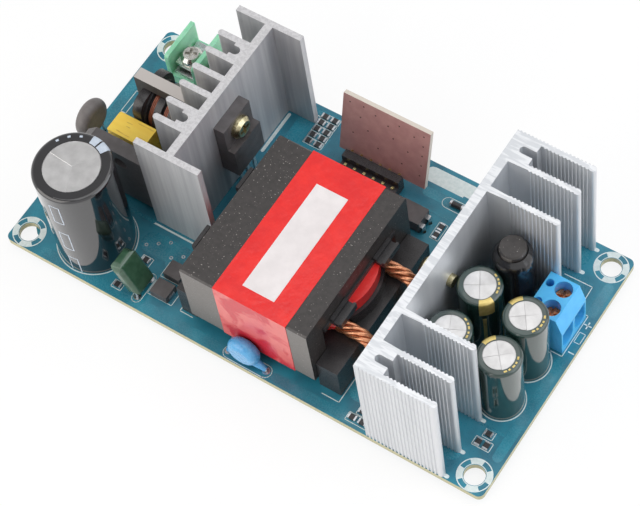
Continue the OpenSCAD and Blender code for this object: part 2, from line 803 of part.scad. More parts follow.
module circuit_board() {
    color("#2e8ea6")
        difference() {
            linear_extrude(board_t)
                round_rect(board_l, board_w, board_r);
            for (i = [-1, 1], j = [-1, 1])
                translate([i * (board_l / 2 - corner_inset), j * (board_w / 2 - corner_inset), -1])
                    cylinder(h = board_t + 2, d = corner_hole_d);
            for (s = lead_sites)
                pin(s[0], s[1], s[2] + lead_gap, -1, board_t + 1);
        }
}

module solder_joints() {
    color("#c9ccd0")
        for (s = lead_sites)
            translate([s[0], s[1], -tail])
                difference() {
                    cylinder(h = tail, r1 = s[2] + 0.15, r2 = s[2] + solder_w);
                    translate([0, 0, -1])
                        cylinder(h = tail + 2, r = s[2] + fit);
                }
}

module input_terminal_housing() {
    color("#3fae79")
        difference() {
            union() {
                block([ac_x, ac_y, top], [ac_x + ac_w, ac_y + ac_l, top + ac_floor]);
                for (k = [0:2])
                    translate([ac_x + k * ac_pitch, ac_y, top])
                        rotate([90, 0, 90])
                            linear_extrude(ac_wall) {
                                square([ac_l, ac_h - 1]);
                                translate([1, 0])
                                    square([ac_l - 1, ac_h]);
                                translate([1, ac_h - 1])
                                    circle(1);
                            }
            }
            for (x = ac_poles) {
                pin(x, ac_axis, screw_d / 2 + fit, top + 0.6, top + ac_floor + 1);
                post(x, ac_pin_y, ac_pin[0] + 2 * fit, ac_pin[1] + 2 * fit, top - 1, top + ac_floor + 1);
            }
        }
}

module input_terminal_contacts() {
    z = top + ac_floor;
    color("#c8c4b4")
        for (x = ac_poles)
            difference() {
                union() {
                    post(x, ac_y + ac_l / 2, 5.8, ac_l - 1.6, z, z + ac_plate_t);
                    post(x, ac_pin_y, ac_pin[0], ac_pin[1], -tail, z + 0.1);
                }
                pin(x, ac_axis, screw_d / 2 + fit, z - 1, z + ac_plate_t + 1);
            }
}

module input_terminal_clamps() {
    z = top + ac_screw_z - ac_head_h;
    color("#b9bcc0")
        for (x = ac_poles)
            difference() {
                post(x, ac_axis, ac_clamp, ac_clamp, z - ac_clamp_t, z);
                pin(x, ac_axis, screw_d / 2 + fit, z - 3, z + 1);
            }
}

module input_terminal_screws() {
    z = top + ac_screw_z - ac_head_h;
    color("#c9cbce")
        for (x = ac_poles)
            translate([x, ac_axis, z])
                rotate([0, 0, 25])
                    cross_screw(screw_d, ac_head_d, ac_head_h, z - top - 0.7);
}

module box_capacitor() {
    color("#f2c230")
        translate([box_x, box_y, top])
            linear_extrude(box_h)
                round_rect(box_l, box_w, 0.35);
}

module box_capacitor_leads() {
    color("#c9ccd0")
        for (s = pair_x(box_x, box_y, 7.5, lead_d / 2))
            pin(s[0], s[1], s[2], -tail, top);
}

module thermistor() {
    color("#3a3634")
        difference() {
            translate([ntc_x, ntc_y, top + ntc_z])
                round_disc(ntc_d, ntc_t);
            for (s = pair_y(ntc_x, ntc_y, 5, lead_d / 2 + fit))
                pin(s[0], s[1], s[2], top, top + ntc_z - ntc_d / 4);
        }
}

module thermistor_leads() {
    color("#c9ccd0")
        for (s = pair_y(ntc_x, ntc_y, 5, lead_d / 2))
            pin(s[0], s[1], s[2], -tail, top + ntc_z - ntc_d / 4);
}

module at_choke() {
    translate([choke_x, choke_y, top])
        children();
}

module choke_core() {
    win_l = choke_l - 2 * choke_side;
    win_h = (choke_h - 3 * choke_bar) / 2;
    color("#8f8780")
        at_choke()
            translate([0, choke_t / 2, choke_z])
                rotate([90, 0, 0])
                    linear_extrude(choke_t)
                        difference() {
                            translate([-choke_l / 2, 0])
                                square([choke_l, choke_h]);
                            for (k = [0, 1])
                                translate([-win_l / 2, choke_bar + k * (win_h + choke_bar)])
                                    square([win_l, win_h]);
                        }
}

module choke_bobbin() {
    x = -choke_in_l / 2;
    color("#1d1c1d")
        at_choke()
            difference() {
                union() {
                    translate([x, 0, choke_axis_z])
                        rotate([0, 90, 0]) {
                            cylinder(h = choke_in_l, r = choke_bore_r + 0.5);
                            for (k = [1:3])
                                translate([0, 0, k * choke_step])
                                    cylinder(h = choke_flange, r = choke_end_r);
                        }
                    translate([x - choke_hook, 0, choke_axis_z])
                        rotate([90, 0, 90])
                            linear_extrude(choke_step + choke_hook + 0.1)
                                round_rect(2 * choke_end_r, 2 * choke_end_r - 0.8, 3);
                }
                translate([x - choke_hook - 1, 0, choke_axis_z])
                    rotate([0, 90, 0])
                        cylinder(h = choke_in_l + choke_hook + 2, r = choke_bore_r);
                block([x - choke_hook - 1, -choke_t / 2 - 0.1, 0], [x, choke_t / 2 + 0.1, choke_h]);
            }
}

module choke_windings() {
    color("#b3623c")
        at_choke()
            for (k = [0:2]) {
                x = -choke_in_l / 2 + choke_flange + k * choke_step;
                l = choke_step - choke_flange - fit;
                if (k > 0)
                    translate([x, 0, choke_axis_z])
                        rotate([0, 90, 0])
                            difference() {
                                cylinder(h = l, r = choke_coil_r);
                                translate([0, 0, -1])
                                    cylinder(h = l + 2, r = choke_bore_r + 0.5 + fit);
                            }
                if (k != 1)
                    for (s = [-1, 1])
                        pin(x + l / 2, s * (choke_coil_r - 0.7), 0.3, choke_base_h,
                            k == 0 ? choke_axis_z - choke_end_r + 0.4 : choke_axis_z);
            }
}

module choke_base() {
    color("#1d1c1d")
        difference() {
            at_choke()
                difference() {
                    post(0, 0, choke_l, choke_base_w, 0, choke_base_h);
                    post(0, 0, choke_l + 2, choke_t + 0.1, choke_floor, choke_base_h + 1);
                }
            for (p = choke_pins)
                pin(p[0], p[1], p[2] + fit, top - 1, top + choke_base_h - 0.8);
        }
}

module choke_pins_metal() {
    color("#c9ccd0")
        for (p = choke_pins)
            pin(p[0], p[1], p[2], -tail, top + choke_base_h - 0.8);
}

module bridge_rectifier() {
    color("#37383a")
        difference() {
            translate([bridge_x, sink1_in_y + bridge_t, top + bridge_z])
                rotate([90, 0, 0])
                    linear_extrude(bridge_t)
                        polygon([[0, 0], [bridge_l, 0], [bridge_l, bridge_h],
                            [bridge_cut, bridge_h], [0, bridge_h - bridge_cut]]);
            translate([bridge_x + bridge_l / 2, sink1_in_y - 1, top + bridge_z + bridge_h - 4])
                rotate([-90, 0, 0])
                    cylinder(h = bridge_t + 2, d = 3.4);
        }
}

module bridge_rectifier_leads() {
    color("#c9ccd0")
        for (p = bridge_pins) {
            post(p[0], p[1], bridge_lead[0], bridge_lead[1], -tail, top + bridge_z);
            post(p[0], p[1], 1.9, bridge_lead[1], top + 0.4, top + bridge_z);
        }
}

module at_bulk() {
    translate([bulk_x, bulk_y, top])
        children();
}

module bulk_capacitor_can() {
    color("#c4c6c8")
        at_bulk()
            can_body(bulk_d, bulk_h, bulk_disc_d, 3);
}

module bulk_capacitor_sleeve() {
    color("#1c1c20")
        at_bulk()
            can_sleeve(bulk_d, bulk_h, bulk_disc_d);
}

module bulk_capacitor_leads() {
    color("#c9ccd0")
        at_bulk()
            can_leads(bulk_pitch, bulk_lead_d / 2);
}

// Leads of the film capacitor: straight through the board, then bent with the body
module film_wires(gap) {
    r = lead_d / 2 + gap;
    for (s = [-1, 1])
        translate([film_x, film_y + s * film_pitch / 2, top + 1]) {
            translate([0, 0, -1 - top - tail])
                cylinder(h = 1 + top + tail, r = r);
            translate([0, 0, -0.1])
                rotate([0, -film_lean, 0])
                    cylinder(h = 3.5, r = r * 0.98);
        }
}

module film_capacitor() {
    color("#2e6b45")
        difference() {
            translate([film_x, film_y, top + 1])
                rotate([0, -film_lean, 0])
                    translate([0, 0, film_l / 2])
                        intersection() {
                            rotate([90, 0, 90])
                                translate([0, 0, -film_t / 2])
                                    linear_extrude(film_t)
                                        round_rect(film_w, film_l, 2.2);
                            rotate([90, 0, 0])
                                translate([0, 0, -film_w / 2])
                                    linear_extrude(film_w)
                                        round_rect(film_t, film_l, 1.2);
                            translate([0, 0, -film_l / 2])
                                linear_extrude(film_l)
                                    round_rect(film_t, film_w, 1.2);
                        }
            film_wires(fit);
        }
}

module film_capacitor_leads() {
    color("#c9ccd0")
        film_wires(0);
}

module primary_heatsink() {
    y1 = sink1_y - sink1_l / 2;
    y2 = sink1_y + sink1_l / 2;
    t = sink1_fin_t;
    color("#b4b6ba")
        difference() {
            translate([0, 0, top])
                linear_extrude(sink1_h)
                    difference() {
                        union() {
                            translate([sink1_back, y1])
                                square([sink1_base, sink1_l]);
                            for (y = [y1, y2 - t])
                                translate([sink1_tip + 0.2, y])
                                    square([sink1_fin_l - 0.2 + sink1_base + sink1_flange, t]);
                            for (k = [-2.5:2.5])
                                translate([sink1_tip + t / 2, sink1_y + k * sink1_pitch - t / 2])
                                    square([sink1_fin_l, t]);
                            for (k = [-2.5:2.5])
                                translate([sink1_tip + t / 2, sink1_y + k * sink1_pitch])
                                    circle(t / 2);
                            for (y = sink1_slots_y)
                                translate([sink1_boss_x, y - sink1_pitch / 2])
                                    square([3.5, sink1_pitch]);
                        }
                        for (y = sink1_slots_y) {
                            translate([sink1_slot_x, y])
                                circle(sink1_slot / 2);
                            translate([sink1_boss_x - 1, y - sink1_slot / 2])
                                square([sink1_slot_x - sink1_boss_x + 1, sink1_slot]);
                        }
                    }
            translate([sink1_back + 0.1, q1_y, top + q1_z + q_hole_z])
                rotate([0, 90, 0])
                    cylinder(h = sink1_base + 1, d = screw_d + 2 * fit);
        }
}

module heatsink_pins() {
    color("#c9ccd0")
        for (p = sink_pins)
            pin(p[0], p[1], p[2], -tail, top + sink_pin_h);
}

module at_q1() {
    translate([sink1_x, q1_y, top + q1_z])
        children();
}

module at_q2() {
    translate([sink2_x, sink2_y, top + q2_z])
        rotate([0, 0, 180])
            children();
}

module primary_transistor() {
    color("#2b2b2c")
        at_q1()
            power_body();
}

module primary_transistor_leads() {
    color("#c9ccd0")
        at_q1()
            power_leads(q1_z);
}

module heatsink_screws() {
    color("#a98b52") {
        at_q1()
            translate([q_tab, 0, q_hole_z])
                rotate([0, 90, 0])
                    cross_screw(screw_d, screw_head_d, screw_head_h, q_tab + sink1_base - 0.2);
        at_q2()
            translate([q_tab, 0, q_hole_z])
                rotate([0, 90, 0])
                    cross_screw(screw_d, screw_head_d, screw_head_h, q_tab + sink2_base + q2_screw_out);
    }
}

module transformer_core_top() {
    color("#454240")
        at_transformer()
            translate([0, 0, core_mid_z])
                core_half();
}

module transformer_core_bottom() {
    color("#454240")
        at_transformer()
            translate([0, 0, core_mid_z])
                rotate([180, 0, 0])
                    core_half();
}

module transformer_bobbin() {
    r = core_mid + 0.1;
    edge = core_d / 2 + rail_gap;
    tab_y = bobbin_tab_gap / 2 + bobbin_tab_l / 2;
    color("#1f1e1f")
        difference() {
            at_transformer() {
                difference() {
                    union() {
                        translate([0, 0, low_flange_z])
                            linear_extrude(coil_top + bobbin_flange - low_flange_z)
                                track(core_mid_a, tube_r);
                        post(0, 0, 2 * edge + 0.8, 2 * flange_y, coil_top, coil_top + bobbin_flange);
                        post(0, 0, 2 * edge + 0.8, 2 * flange_y, low_flange_z, coil_z);
                        difference() {
                            translate([0, 0, coil_z - 0.1])
                                linear_extrude(skirt_h + 0.1)
                                    difference() {
                                        track(core_mid_a, coil_r + 0.8);
                                        track(core_mid_a, coil_r + fit);
                                        square([2 * edge, core_l], center = true);
                                    }
                            litz_ways(0.2);
                        }
                    }
                    translate([0, 0, low_flange_z - 1])
                        linear_extrude(coil_top + bobbin_flange - low_flange_z + 2)
                            track(core_mid_a, r);
                }
                for (i = [-1, 1], j = [-1, 1])
                    translate([i * (edge + bobbin_tab / 2), j * tab_y, 0])
                        difference() {
                            post(0, 0, bobbin_tab, bobbin_tab_l, coil_top, coil_top + 1.9);
                            post(0.1, 0, 1.4, bobbin_tab_l + 1, coil_top + 1, coil_top + 3);
                        }
                block([edge, -rail_l / 2, 0], [edge + rail_out, rail_l / 2, coil_z]);
                block([-edge - rail_in, -rail_l / 2, 0], [-edge, rail_l / 2, coil_z]);
            }
            for (p = tr_pins)
                pin(p[0], p[1], p[2] + fit, top - 1, top + 4);
        }
}

module transformer_coil() {
    color("#b3623c")
        at_transformer()
            difference() {
                translate([0, 0, coil_z])
                    linear_extrude(coil_top - coil_z - coil_tape)
                        difference() {
                            track(core_mid_a, coil_r - coil_tape);
                            track(core_mid_a, tube_r + fit);
                        }
                litz_ways(fit);
            }
}

module transformer_coil_tape() {
    color("#c41620")
        at_transformer()
            difference() {
                translate([0, 0, coil_z])
                    linear_extrude(coil_top - coil_z)
                        difference() {
                            track(core_mid_a, coil_r);
                            track(core_mid_a, tube_r + fit);
                        }
                translate([0, 0, coil_z - 1])
                    linear_extrude(coil_top - coil_z - coil_tape + 1)
                        track(core_mid_a, coil_r - coil_tape);
                litz_ways(fit);
            }
}

module transformer_core_tape() {
    c = core_chamfer;
    color("#e02a2c")
        at_transformer()
            translate([-core_d / 2 + tape_x, 0, core_mid_z])
                rotate([90, 0, 90])
                    linear_extrude(tape_w)
                        difference() {
                            square([core_l + 2 * tape_t, 2 * core_h + 2 * tape_t], center = true);
                            square([core_l, 2 * core_h], center = true);
                        }
}

module transformer_label() {
    z = core_z + 2 * core_h + tape_t;
    color("#f0efec")
        at_transformer()
            translate([-core_d / 2 + tape_x + tape_w / 2, -1.5, 0])
                post(0, 0, label_w, label_l, z, z + 0.1);
}

module transformer_pins() {
    color("#c9ccd0")
        for (p = tr_pins)
            pin(p[0], p[1], p[2], -tail, top + 4);
}

module transformer_output_leads() {
    z1 = top + litz_z;
    x1 = tr_x + 12.4;
    x2 = litz_down_x;
    color("#b8703c")
        for (s = [-1, 1]) {
            y = tr_y + s * litz_y;
            start = [x1, y, z1];
            end = [x2, y, -tail];
            twisted(curve([start, start, start, [x1 + 4, y, z1], [x1 + 8, y, z1], [x2 - 2.6, y, z1],
                [x2, y, z1 - 1], [x2, y, z1 - 5], [x2, y, top + 3], [x2, y, top], end, end, end], 6),
                litz_r, litz_end_r, 11);
        }
}

// Leads of the disc capacitor, bent out to their pitch
module disc_wires(gap) {
    r = lead_d / 2 + gap;
    for (s = [-1, 1]) {
        x = disc_x + 0.3 + s * disc_pitch / 2;
        run = disc_x + s * 1.6 - x;
        pin(x, disc_y, r, -tail, top + 1.2);
        translate([x, disc_y, top + 1.1])
            rotate([0, atan2(run, 1.4), 0])
                cylinder(h = norm([run, 1.4]), r = r * 0.98);
    }
}

module disc_capacitor() {
    color("#2f7fd0")
        difference() {
            union() {
                translate([disc_x, disc_y, top + disc_z])
                    rotate([0, 0, 90])
                        round_disc(disc_d, disc_t);
                for (s = [-1, 1]) {
                    x = disc_x + 0.3 + s * disc_pitch / 2;
                    run = disc_x + s * 1.2 - x;
                    translate([x, disc_y, top + 0.7])
                        rotate([0, atan2(run, 2.2), 0])
                            cylinder(h = norm([run, 2.2]), r1 = 0.6, r2 = disc_t * 0.4);
                }
            }
            disc_wires(fit);
        }
}

module disc_capacitor_leads() {
    color("#c9ccd0")
        disc_wires(0);
}

module control_board() {
    color("#9a8a86")
        difference() {
            at_control()
                block([-ctrl_l / 2, 0, 0], [ctrl_l / 2, ctrl_t, ctrl_w]);
            header_pins(0.1);
        }
}

module control_header() {
    color("#1d1c1d")
        difference() {
            for (h = [[head_y, head_h], [head_y + 1.7, head_h + 2.1]])
                block([head_x - head_l / 2, h[0], top],
                    [head_x + head_l / 2, head_y + head_w, top + h[1]]);
            header_pins(fit);
        }
}

module control_header_pins() {
    color("#d6cfb8")
        header_pins(0);
}

module control_board_chips() {
    color("#232325")
        at_control() {
            block([-8, ctrl_t, 6], [-3, ctrl_t + 1.5, 10]);
            block([2, ctrl_t, 7], [7, ctrl_t + 1.5, 11]);
            for (k = [0:5])
                block([-8 + k * 2.8, ctrl_t, 13], [-6.75 + k * 2.8, ctrl_t + chip_h, 15]);
        }
}

module optocoupler() {
    color("#232325")
        translate([opto_x, opto_y, top + 0.5])
            linear_extrude(opto_h)
                round_rect(opto_l, opto_w, 0.3);
}

module optocoupler_legs() {
    color("#c9ccd0")
        for (i = [-1, 1], j = [-1, 1])
            translate([opto_x, opto_y + j * 1.27, 0]) {
                x1 = i * opto_l / 2;
                x2 = i * (opto_pitch / 2 + opto_leg[0] / 2);
                z = top + 0.5 + opto_h * 0.55;
                block([min(x1, x2), -0.6, z - 0.25], [max(x1, x2), 0.6, z]);
                post(i * opto_pitch / 2, 0, opto_leg[0], opto_leg[1], -tail, z);
                post(i * opto_pitch / 2, 0, opto_leg[0], 1.2, top + 0.3, z);
            }
}

module output_heatsink() {
    t = sink2_fin_t / 2;
    last = sink2_l / 2 - t;
    color("#d9dadc")
        difference() {
            translate([0, 0, top])
                linear_extrude(sink2_h)
                    difference() {
                        union() {
                            translate([sink2_x, sink2_y - last])
                                square([sink2_base, 2 * last]);
                            for (y = sink2_fins)
                                translate([0, y])
                                    if (y < sink2_y - last + 0.1)
                                        ribbed_fin(sink2_x, sink2_x + 0.3, sink2_front + rib_from);
                                    else if (y > sink2_y + last - 0.1)
                                        ribbed_fin(sink2_x, sink2_front + rib_from, sink2_x + 0.3);
                                    else
                                        ribbed_fin(sink2_front - 0.5, sink2_front + rib_from,
                                            sink2_front + rib_from);
                            for (y = sink2_slots_y)
                                translate([sink2_front - 0.5, y - sink2_step1 / 2])
                                    square([sink2_boss + 0.5, sink2_step1]);
                        }
                        for (y = sink2_slots_y) {
                            translate([sink2_slot_x, y])
                                circle(sink2_slot / 2);
                            translate([sink2_slot_x, y - sink2_slot / 2])
                                square([sink2_boss, sink2_slot]);
                        }
                    }
            translate([sink2_x - 1, sink2_y, top + q2_z + q_hole_z])
                rotate([0, 90, 0])
                    cylinder(h = sink2_base + 2, d = screw_d + 2 * fit);
        }
}

module output_rectifier() {
    color("#2b2b2c")
        at_q2()
            power_body();
}

module output_rectifier_leads() {
    color("#c9ccd0")
        at_q2()
            power_leads(q2_z);
}

module at_caps() {
    for (c = caps)
        translate([c[0], c[1], top])
            children();
}

module output_capacitor_cans() {
    color("#c4c6c8")
        at_caps()
            can_body(cap_d, cap_h, cap_disc_d, 4);
}

module output_capacitor_sleeves() {
    color("#2c4a44")
        at_caps()
            can_sleeve(cap_d, cap_h, cap_disc_d);
}

module output_capacitor_leads() {
    color("#c9ccd0")
        at_caps()
            can_leads(cap_pitch, lead_d / 2);
}

module capacitor_seals() {
    color("#2a2826") {
        at_caps()
            can_seal(cap_d, cap_pitch, lead_d / 2);
        at_bulk()
            can_seal(bulk_d, bulk_pitch, bulk_lead_d / 2);
    }
}

module at_rod() {
    translate([rod_x, rod_y, top])
        children();
}

module output_choke_rod() {
    color("#3a393b")
        at_rod()
            translate([0, 0, 1]) {
                cylinder(h = rod_h - 1.4, d = rod_d);
                translate([0, 0, rod_h - 1.4])
                    cylinder(h = 0.4, d1 = rod_d, d2 = rod_d - 0.6);
            }
}

module output_choke_winding() {
    r = rod_sleeve_d / 2 - sleeve_t - fit;
    color("#b3623c")
        at_rod()
            difference() {
                union() {
                    translate([0, 0, 1.8])
                        cylinder(h = rod_h - rod_show - 10.3, r = r);
                    for (s = [-1, 1])
                        pin(0, s * rod_pitch / 2, 0.4, -top - tail, 2);
                }
                translate([0, 0, 0.5])
                    cylinder(h = rod_h, r = rod_d / 2 + fit);
            }
}

module output_choke_sleeve() {
    r = rod_sleeve_d / 2;
    t = sleeve_t;
    neck = rod_d / 2 + fit;
    z = rod_h - rod_show;
    color("#1b1a1b")
        at_rod()
            rotate_extrude()
                polygon([[r, 0], [r, z - 8], [r - 0.3, z - 5.5], [r - 0.8, z - 3], [neck + t + 0.2, z - 0.8],
                    [neck + t, z], [neck, z], [neck + 0.2, z - 0.8 - t], [r - 0.8 - t, z - 3 - t],
                    [r - 0.3 - t, z - 5.5 - t], [r - t, z - 8 - t], [r - t, 0]]);
}

module output_terminal_housing() {
    color("#2aa0e8")
        difference() {
            translate([dc_x, dc_y + dc_w / 2, top])
                rotate([90, 0, 0])
                    linear_extrude(dc_w)
                        polygon([[0, 0], [dc_l, 0], [dc_l, dc_slope_z], [dc_l - dc_slope, dc_h], [0, dc_h]]);
            for (y = dc_poles) {
                pin(dc_axis, y, dc_well_d / 2, top + cage_z + cage_h - 0.1, top + dc_h + 1);
                pin(dc_x + 1.2, y, 0.95, top + dc_h - 6, top + dc_h + 1);
                post(dc_axis, y, cage_l + 2 * fit, cage_w + 2 * fit, top + cage_z, top + cage_z + cage_h);
                post(dc_axis, y, dc_pin[0] + 2 * fit, dc_pin[1] + 2 * fit, top - 1, top + cage_z + 1);
                translate([dc_axis, y, top + dc_entry_z])
                    rotate([90, 0, 90])
                        linear_extrude(dc_l) {
                            translate([0, dc_entry_w / 2])
                                circle(dc_entry_w / 2);
                            translate([-dc_entry_w / 2, dc_entry_w / 2])
                                square([dc_entry_w, dc_entry_h - dc_entry_w / 2]);
                        }
            }
        }
}

module output_terminal_screws() {
    z = top + dc_h - dc_sunk;
    color("#b8694a")
        for (y = dc_poles)
            translate([dc_axis, y, z - 1.6]) {
                difference() {
                    cylinder(h = 1.6, d = dc_well_d - 0.3);
                    for (a = [0, 90])
                        rotate([0, 0, a + 20])
                            post(0, 0, dc_well_d, 0.6, 0.9, 2);
                }
                translate([0, 0, -3])
                    cylinder(h = 3, d = 2.5);
            }
}

module output_terminal_cages() {
    z = top + cage_z;
    color("#b9bcc0")
        for (y = dc_poles)
            difference() {
                union() {
                    post(dc_axis, y, cage_l, cage_w, z, z + cage_h);
                    post(dc_axis, y, dc_pin[0], dc_pin[1], -tail, z + 0.1);
                }
                post(dc_axis, y, cage_l + 2, cage_w - 1.2, z + 0.8, z + cage_h - 1.6);
                pin(dc_axis, y, 1.25 + fit, z + 1, z + cage_h + 1);
            }
}

module at_chips(list) {
    for (c = list)
        translate([c[0], c[1], top])
            rotate([0, 0, c[2]])
                children();
}

module chip_bodies() {
    color("#5b4a3c")
        at_chips(concat(resistors, ceramics))
            post(0, 0, chip_l - 0.8, chip_w, 0.02, chip_h);
    color("#a33a2a")
        translate([glass_at[0], glass_at[1], top + glass_d / 2])
            rotate([0, 90, 0])
                translate([0, 0, -glass_l / 2 + 0.5])
                    cylinder(h = glass_l - 1, d = glass_d - 0.1);
}

module chip_ends() {
    color("#d2d4d6") {
        at_chips(concat(resistors, ceramics))
            for (s = [-1, 1])
                post(s * (chip_l / 2 - 0.2), 0, 0.4, chip_w, 0, chip_h + 0.02);
        for (s = [-1, 1])
            translate([glass_at[0] + s * (glass_l / 2 - 0.25) - 0.25, glass_at[1], top + glass_d / 2])
                rotate([0, 90, 0])
                    cylinder(h = 0.5, d = glass_d);
        for (d = diodes, s = [-1, 1]) {
            post(d[0] + s * (diode_l / 2 + 0.1), d[1], 0.2, 2, top, top + diode_h / 2);
            post(d[0] + s * (diode_l / 2 - 0.3), d[1], 1, 2, top, top + 0.2);
        }
    }
}

module diode_blocks() {
    color("#232325")
        for (d = diodes)
            difference() {
                post(d[0], d[1], diode_l, diode_w, top + 0.1, top + diode_h);
                for (s = [-1, 1])
                    post(d[0] + s * diode_l / 2, d[1], 1.6, 2 + 2 * fit, top, top + 0.2 + fit);
            }
}

circuit_board();
solder_joints();
input_terminal_housing();
input_terminal_contacts();
input_terminal_clamps();
input_terminal_screws();
box_capacitor();
box_capacitor_leads();
thermistor();
thermistor_leads();
choke_core();
choke_bobbin();
choke_windings();
choke_base();
choke_pins_metal();
bridge_rectifier();
bridge_rectifier_leads();
bulk_capacitor_can();
bulk_capacitor_sleeve();
bulk_capacitor_leads();
film_capacitor();
film_capacitor_leads();
primary_heatsink();
heatsink_pins();
primary_transistor();
primary_transistor_leads();
heatsink_screws();
transformer_core_top();
transformer_core_bottom();
transformer_bobbin();
transformer_coil();
transformer_coil_tape();
transformer_core_tape();
transformer_label();
transformer_pins();
transformer_output_leads();
disc_capacitor();
disc_capacitor_leads();
control_board();
control_header();
control_header_pins();
control_board_chips();
optocoupler();
optocoupler_legs();
output_heatsink();
output_rectifier();
output_rectifier_leads();
output_capacitor_cans();
output_capacitor_sleeves();
capacitor_seals();
output_capacitor_leads();
output_choke_rod();
output_choke_winding();
output_choke_sleeve();
output_terminal_housing();
output_terminal_screws();
output_terminal_cages();
chip_bodies();
chip_ends();
diode_blocks();
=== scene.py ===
import bpy
import bmesh
import json
import math
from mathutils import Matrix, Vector


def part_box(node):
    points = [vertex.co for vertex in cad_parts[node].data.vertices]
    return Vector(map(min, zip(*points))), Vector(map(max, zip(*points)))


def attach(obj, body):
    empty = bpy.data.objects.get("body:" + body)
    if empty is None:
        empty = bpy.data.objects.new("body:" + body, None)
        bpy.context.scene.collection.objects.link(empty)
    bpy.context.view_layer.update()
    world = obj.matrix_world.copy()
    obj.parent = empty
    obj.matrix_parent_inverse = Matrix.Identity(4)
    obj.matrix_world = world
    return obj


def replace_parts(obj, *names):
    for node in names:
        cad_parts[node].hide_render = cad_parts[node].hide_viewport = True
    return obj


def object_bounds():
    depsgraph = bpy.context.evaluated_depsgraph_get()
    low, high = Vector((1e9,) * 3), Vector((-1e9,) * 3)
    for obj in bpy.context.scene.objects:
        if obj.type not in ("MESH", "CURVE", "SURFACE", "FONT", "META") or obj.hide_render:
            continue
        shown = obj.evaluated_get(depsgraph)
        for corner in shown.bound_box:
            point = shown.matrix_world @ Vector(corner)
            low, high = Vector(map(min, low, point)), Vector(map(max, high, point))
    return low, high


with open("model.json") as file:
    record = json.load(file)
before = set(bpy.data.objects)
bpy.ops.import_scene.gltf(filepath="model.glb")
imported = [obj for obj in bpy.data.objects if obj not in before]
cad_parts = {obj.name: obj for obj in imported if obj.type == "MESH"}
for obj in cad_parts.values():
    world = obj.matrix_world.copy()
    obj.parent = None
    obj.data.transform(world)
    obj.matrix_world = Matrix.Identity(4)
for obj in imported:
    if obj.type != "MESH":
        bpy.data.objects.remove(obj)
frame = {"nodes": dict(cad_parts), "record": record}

bpy.ops.object.select_all(action="DESELECT")
nodes = frame["nodes"]
mm = 0.001      # Blender works in metres; the sizes below are in millimetres
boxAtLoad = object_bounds()


# hex as seen on screen, turned into the linear values that Blender works in
def linearColor(code):
    channels = [int(code[i:i + 2], 16) / 255 for i in (0, 2, 4)]
    return [c / 12.92 if c <= 0.04045 else ((c + 0.055) / 1.055) ** 2.4 for c in channels] + [1.0]


# object coordinates are metres, so a pattern of this many millimetres needs this scale
def perMm(size):
    return 1 / (size * mm)


# one node: settings go to its properties or sockets, links to its inputs
def addNode(tree, kind, settings=None, links=None):
    node = tree.nodes.new(kind)
    for key, value in (settings or {}).items():
        if isinstance(key, int) or key in node.inputs:
            node.inputs[key].default_value = value
        else:
            setattr(node, key, value)
    for key, output in (links or {}).items():
        tree.links.new(output, node.inputs[key])
    return node


def newMaterial(name):
    material = bpy.data.materials.new(name)
    material.use_nodes = True
    material.node_tree.nodes.clear()
    return material, material.node_tree


print("camera and lights")
# a long lens from above the front edge; metres and degrees
viewCamera = dict(at=(0.17811838, -0.19040615, 0.44861986), lens=129.56, sensor=36,
    turned=(29.66280935, 5.59381954, 33.17307696))
bpy.ops.object.camera_add(location=viewCamera["at"],
    rotation=[math.radians(a) for a in viewCamera["turned"]])
camera = bpy.context.object
camera.name = "view_camera"
camera.data.lens = viewCamera["lens"]
camera.data.sensor_width = viewCamera["sensor"]
camera.data.sensor_fit = "HORIZONTAL"
bpy.context.scene.camera = camera
bpy.context.scene.view_settings.view_transform = "Standard"

# key at the front left, a broad softbox overhead, a fill on the right; metres and watts
softboxes = [
    dict(name="key_softbox", at=(-0.25, -0.50, 0.32), size=0.7, power=2.75, tint="fffaf4"),
    dict(name="top_softbox", at=(0.06, 0.10, 0.62), size=0.6, power=1.4, tint="ffffff"),
    dict(name="fill_softbox", at=(0.48, 0.16, 0.34), size=0.6, power=1.8, tint="f2f7ff"),
]
lampsLookAt = Vector((0, 0, 0.01))
for box in softboxes:
    bpy.ops.object.light_add(type="AREA", location=box["at"])
    lamp = bpy.context.object
    lamp.name = box["name"]
    lamp.data.size = box["size"]
    lamp.data.energy = box["power"]
    lamp.data.color = linearColor(box["tint"])[:3]
    lamp.rotation_euler = (lampsLookAt - Vector(box["at"])).to_track_quat("-Z", "Y").to_euler()


# 1 for rays that show a thing to the eye: straight, in a reflection or through glass
def seenRays(tree):
    rays = addNode(tree, "ShaderNodeLightPath")
    both = addNode(tree, "ShaderNodeMath", {"operation": "MAXIMUM"},
        {0: rays.outputs["Is Camera Ray"], 1: rays.outputs["Is Glossy Ray"]})
    return addNode(tree, "ShaderNodeMath", {"operation": "MAXIMUM"},
        {0: both.outputs[0], 1: rays.outputs["Is Transmission Ray"]}).outputs[0]


# white room where the eye or a gloss sees it, softer grey as ambient light; its ceiling is grey
# too, so that sleeves and rims stay dark on top
room = dict(walls=1.0, ceiling=0.5, ambient=0.4, ceilingFrom=0.45, ceilingTo=0.9)
world = bpy.data.worlds.new("white_room")
bpy.context.scene.world = world
world.use_nodes = True
world.node_tree.nodes.clear()
toward = addNode(world.node_tree, "ShaderNodeTexCoord")
height = addNode(world.node_tree, "ShaderNodeSeparateXYZ", links={0: toward.outputs["Generated"]})
ceiling = addNode(world.node_tree, "ShaderNodeMapRange",
    {"From Min": room["ceilingFrom"], "From Max": room["ceilingTo"],
        "To Min": room["walls"], "To Max": room["ceiling"]}, {"Value": height.outputs["Z"]})
level = addNode(world.node_tree, "ShaderNodeMapRange", {"To Min": room["ambient"]},
    {"Value": seenRays(world.node_tree), "To Max": ceiling.outputs[0]})
sky = addNode(world.node_tree, "ShaderNodeBackground", {"Color": linearColor("ffffff")},
    {"Strength": level.outputs[0]})
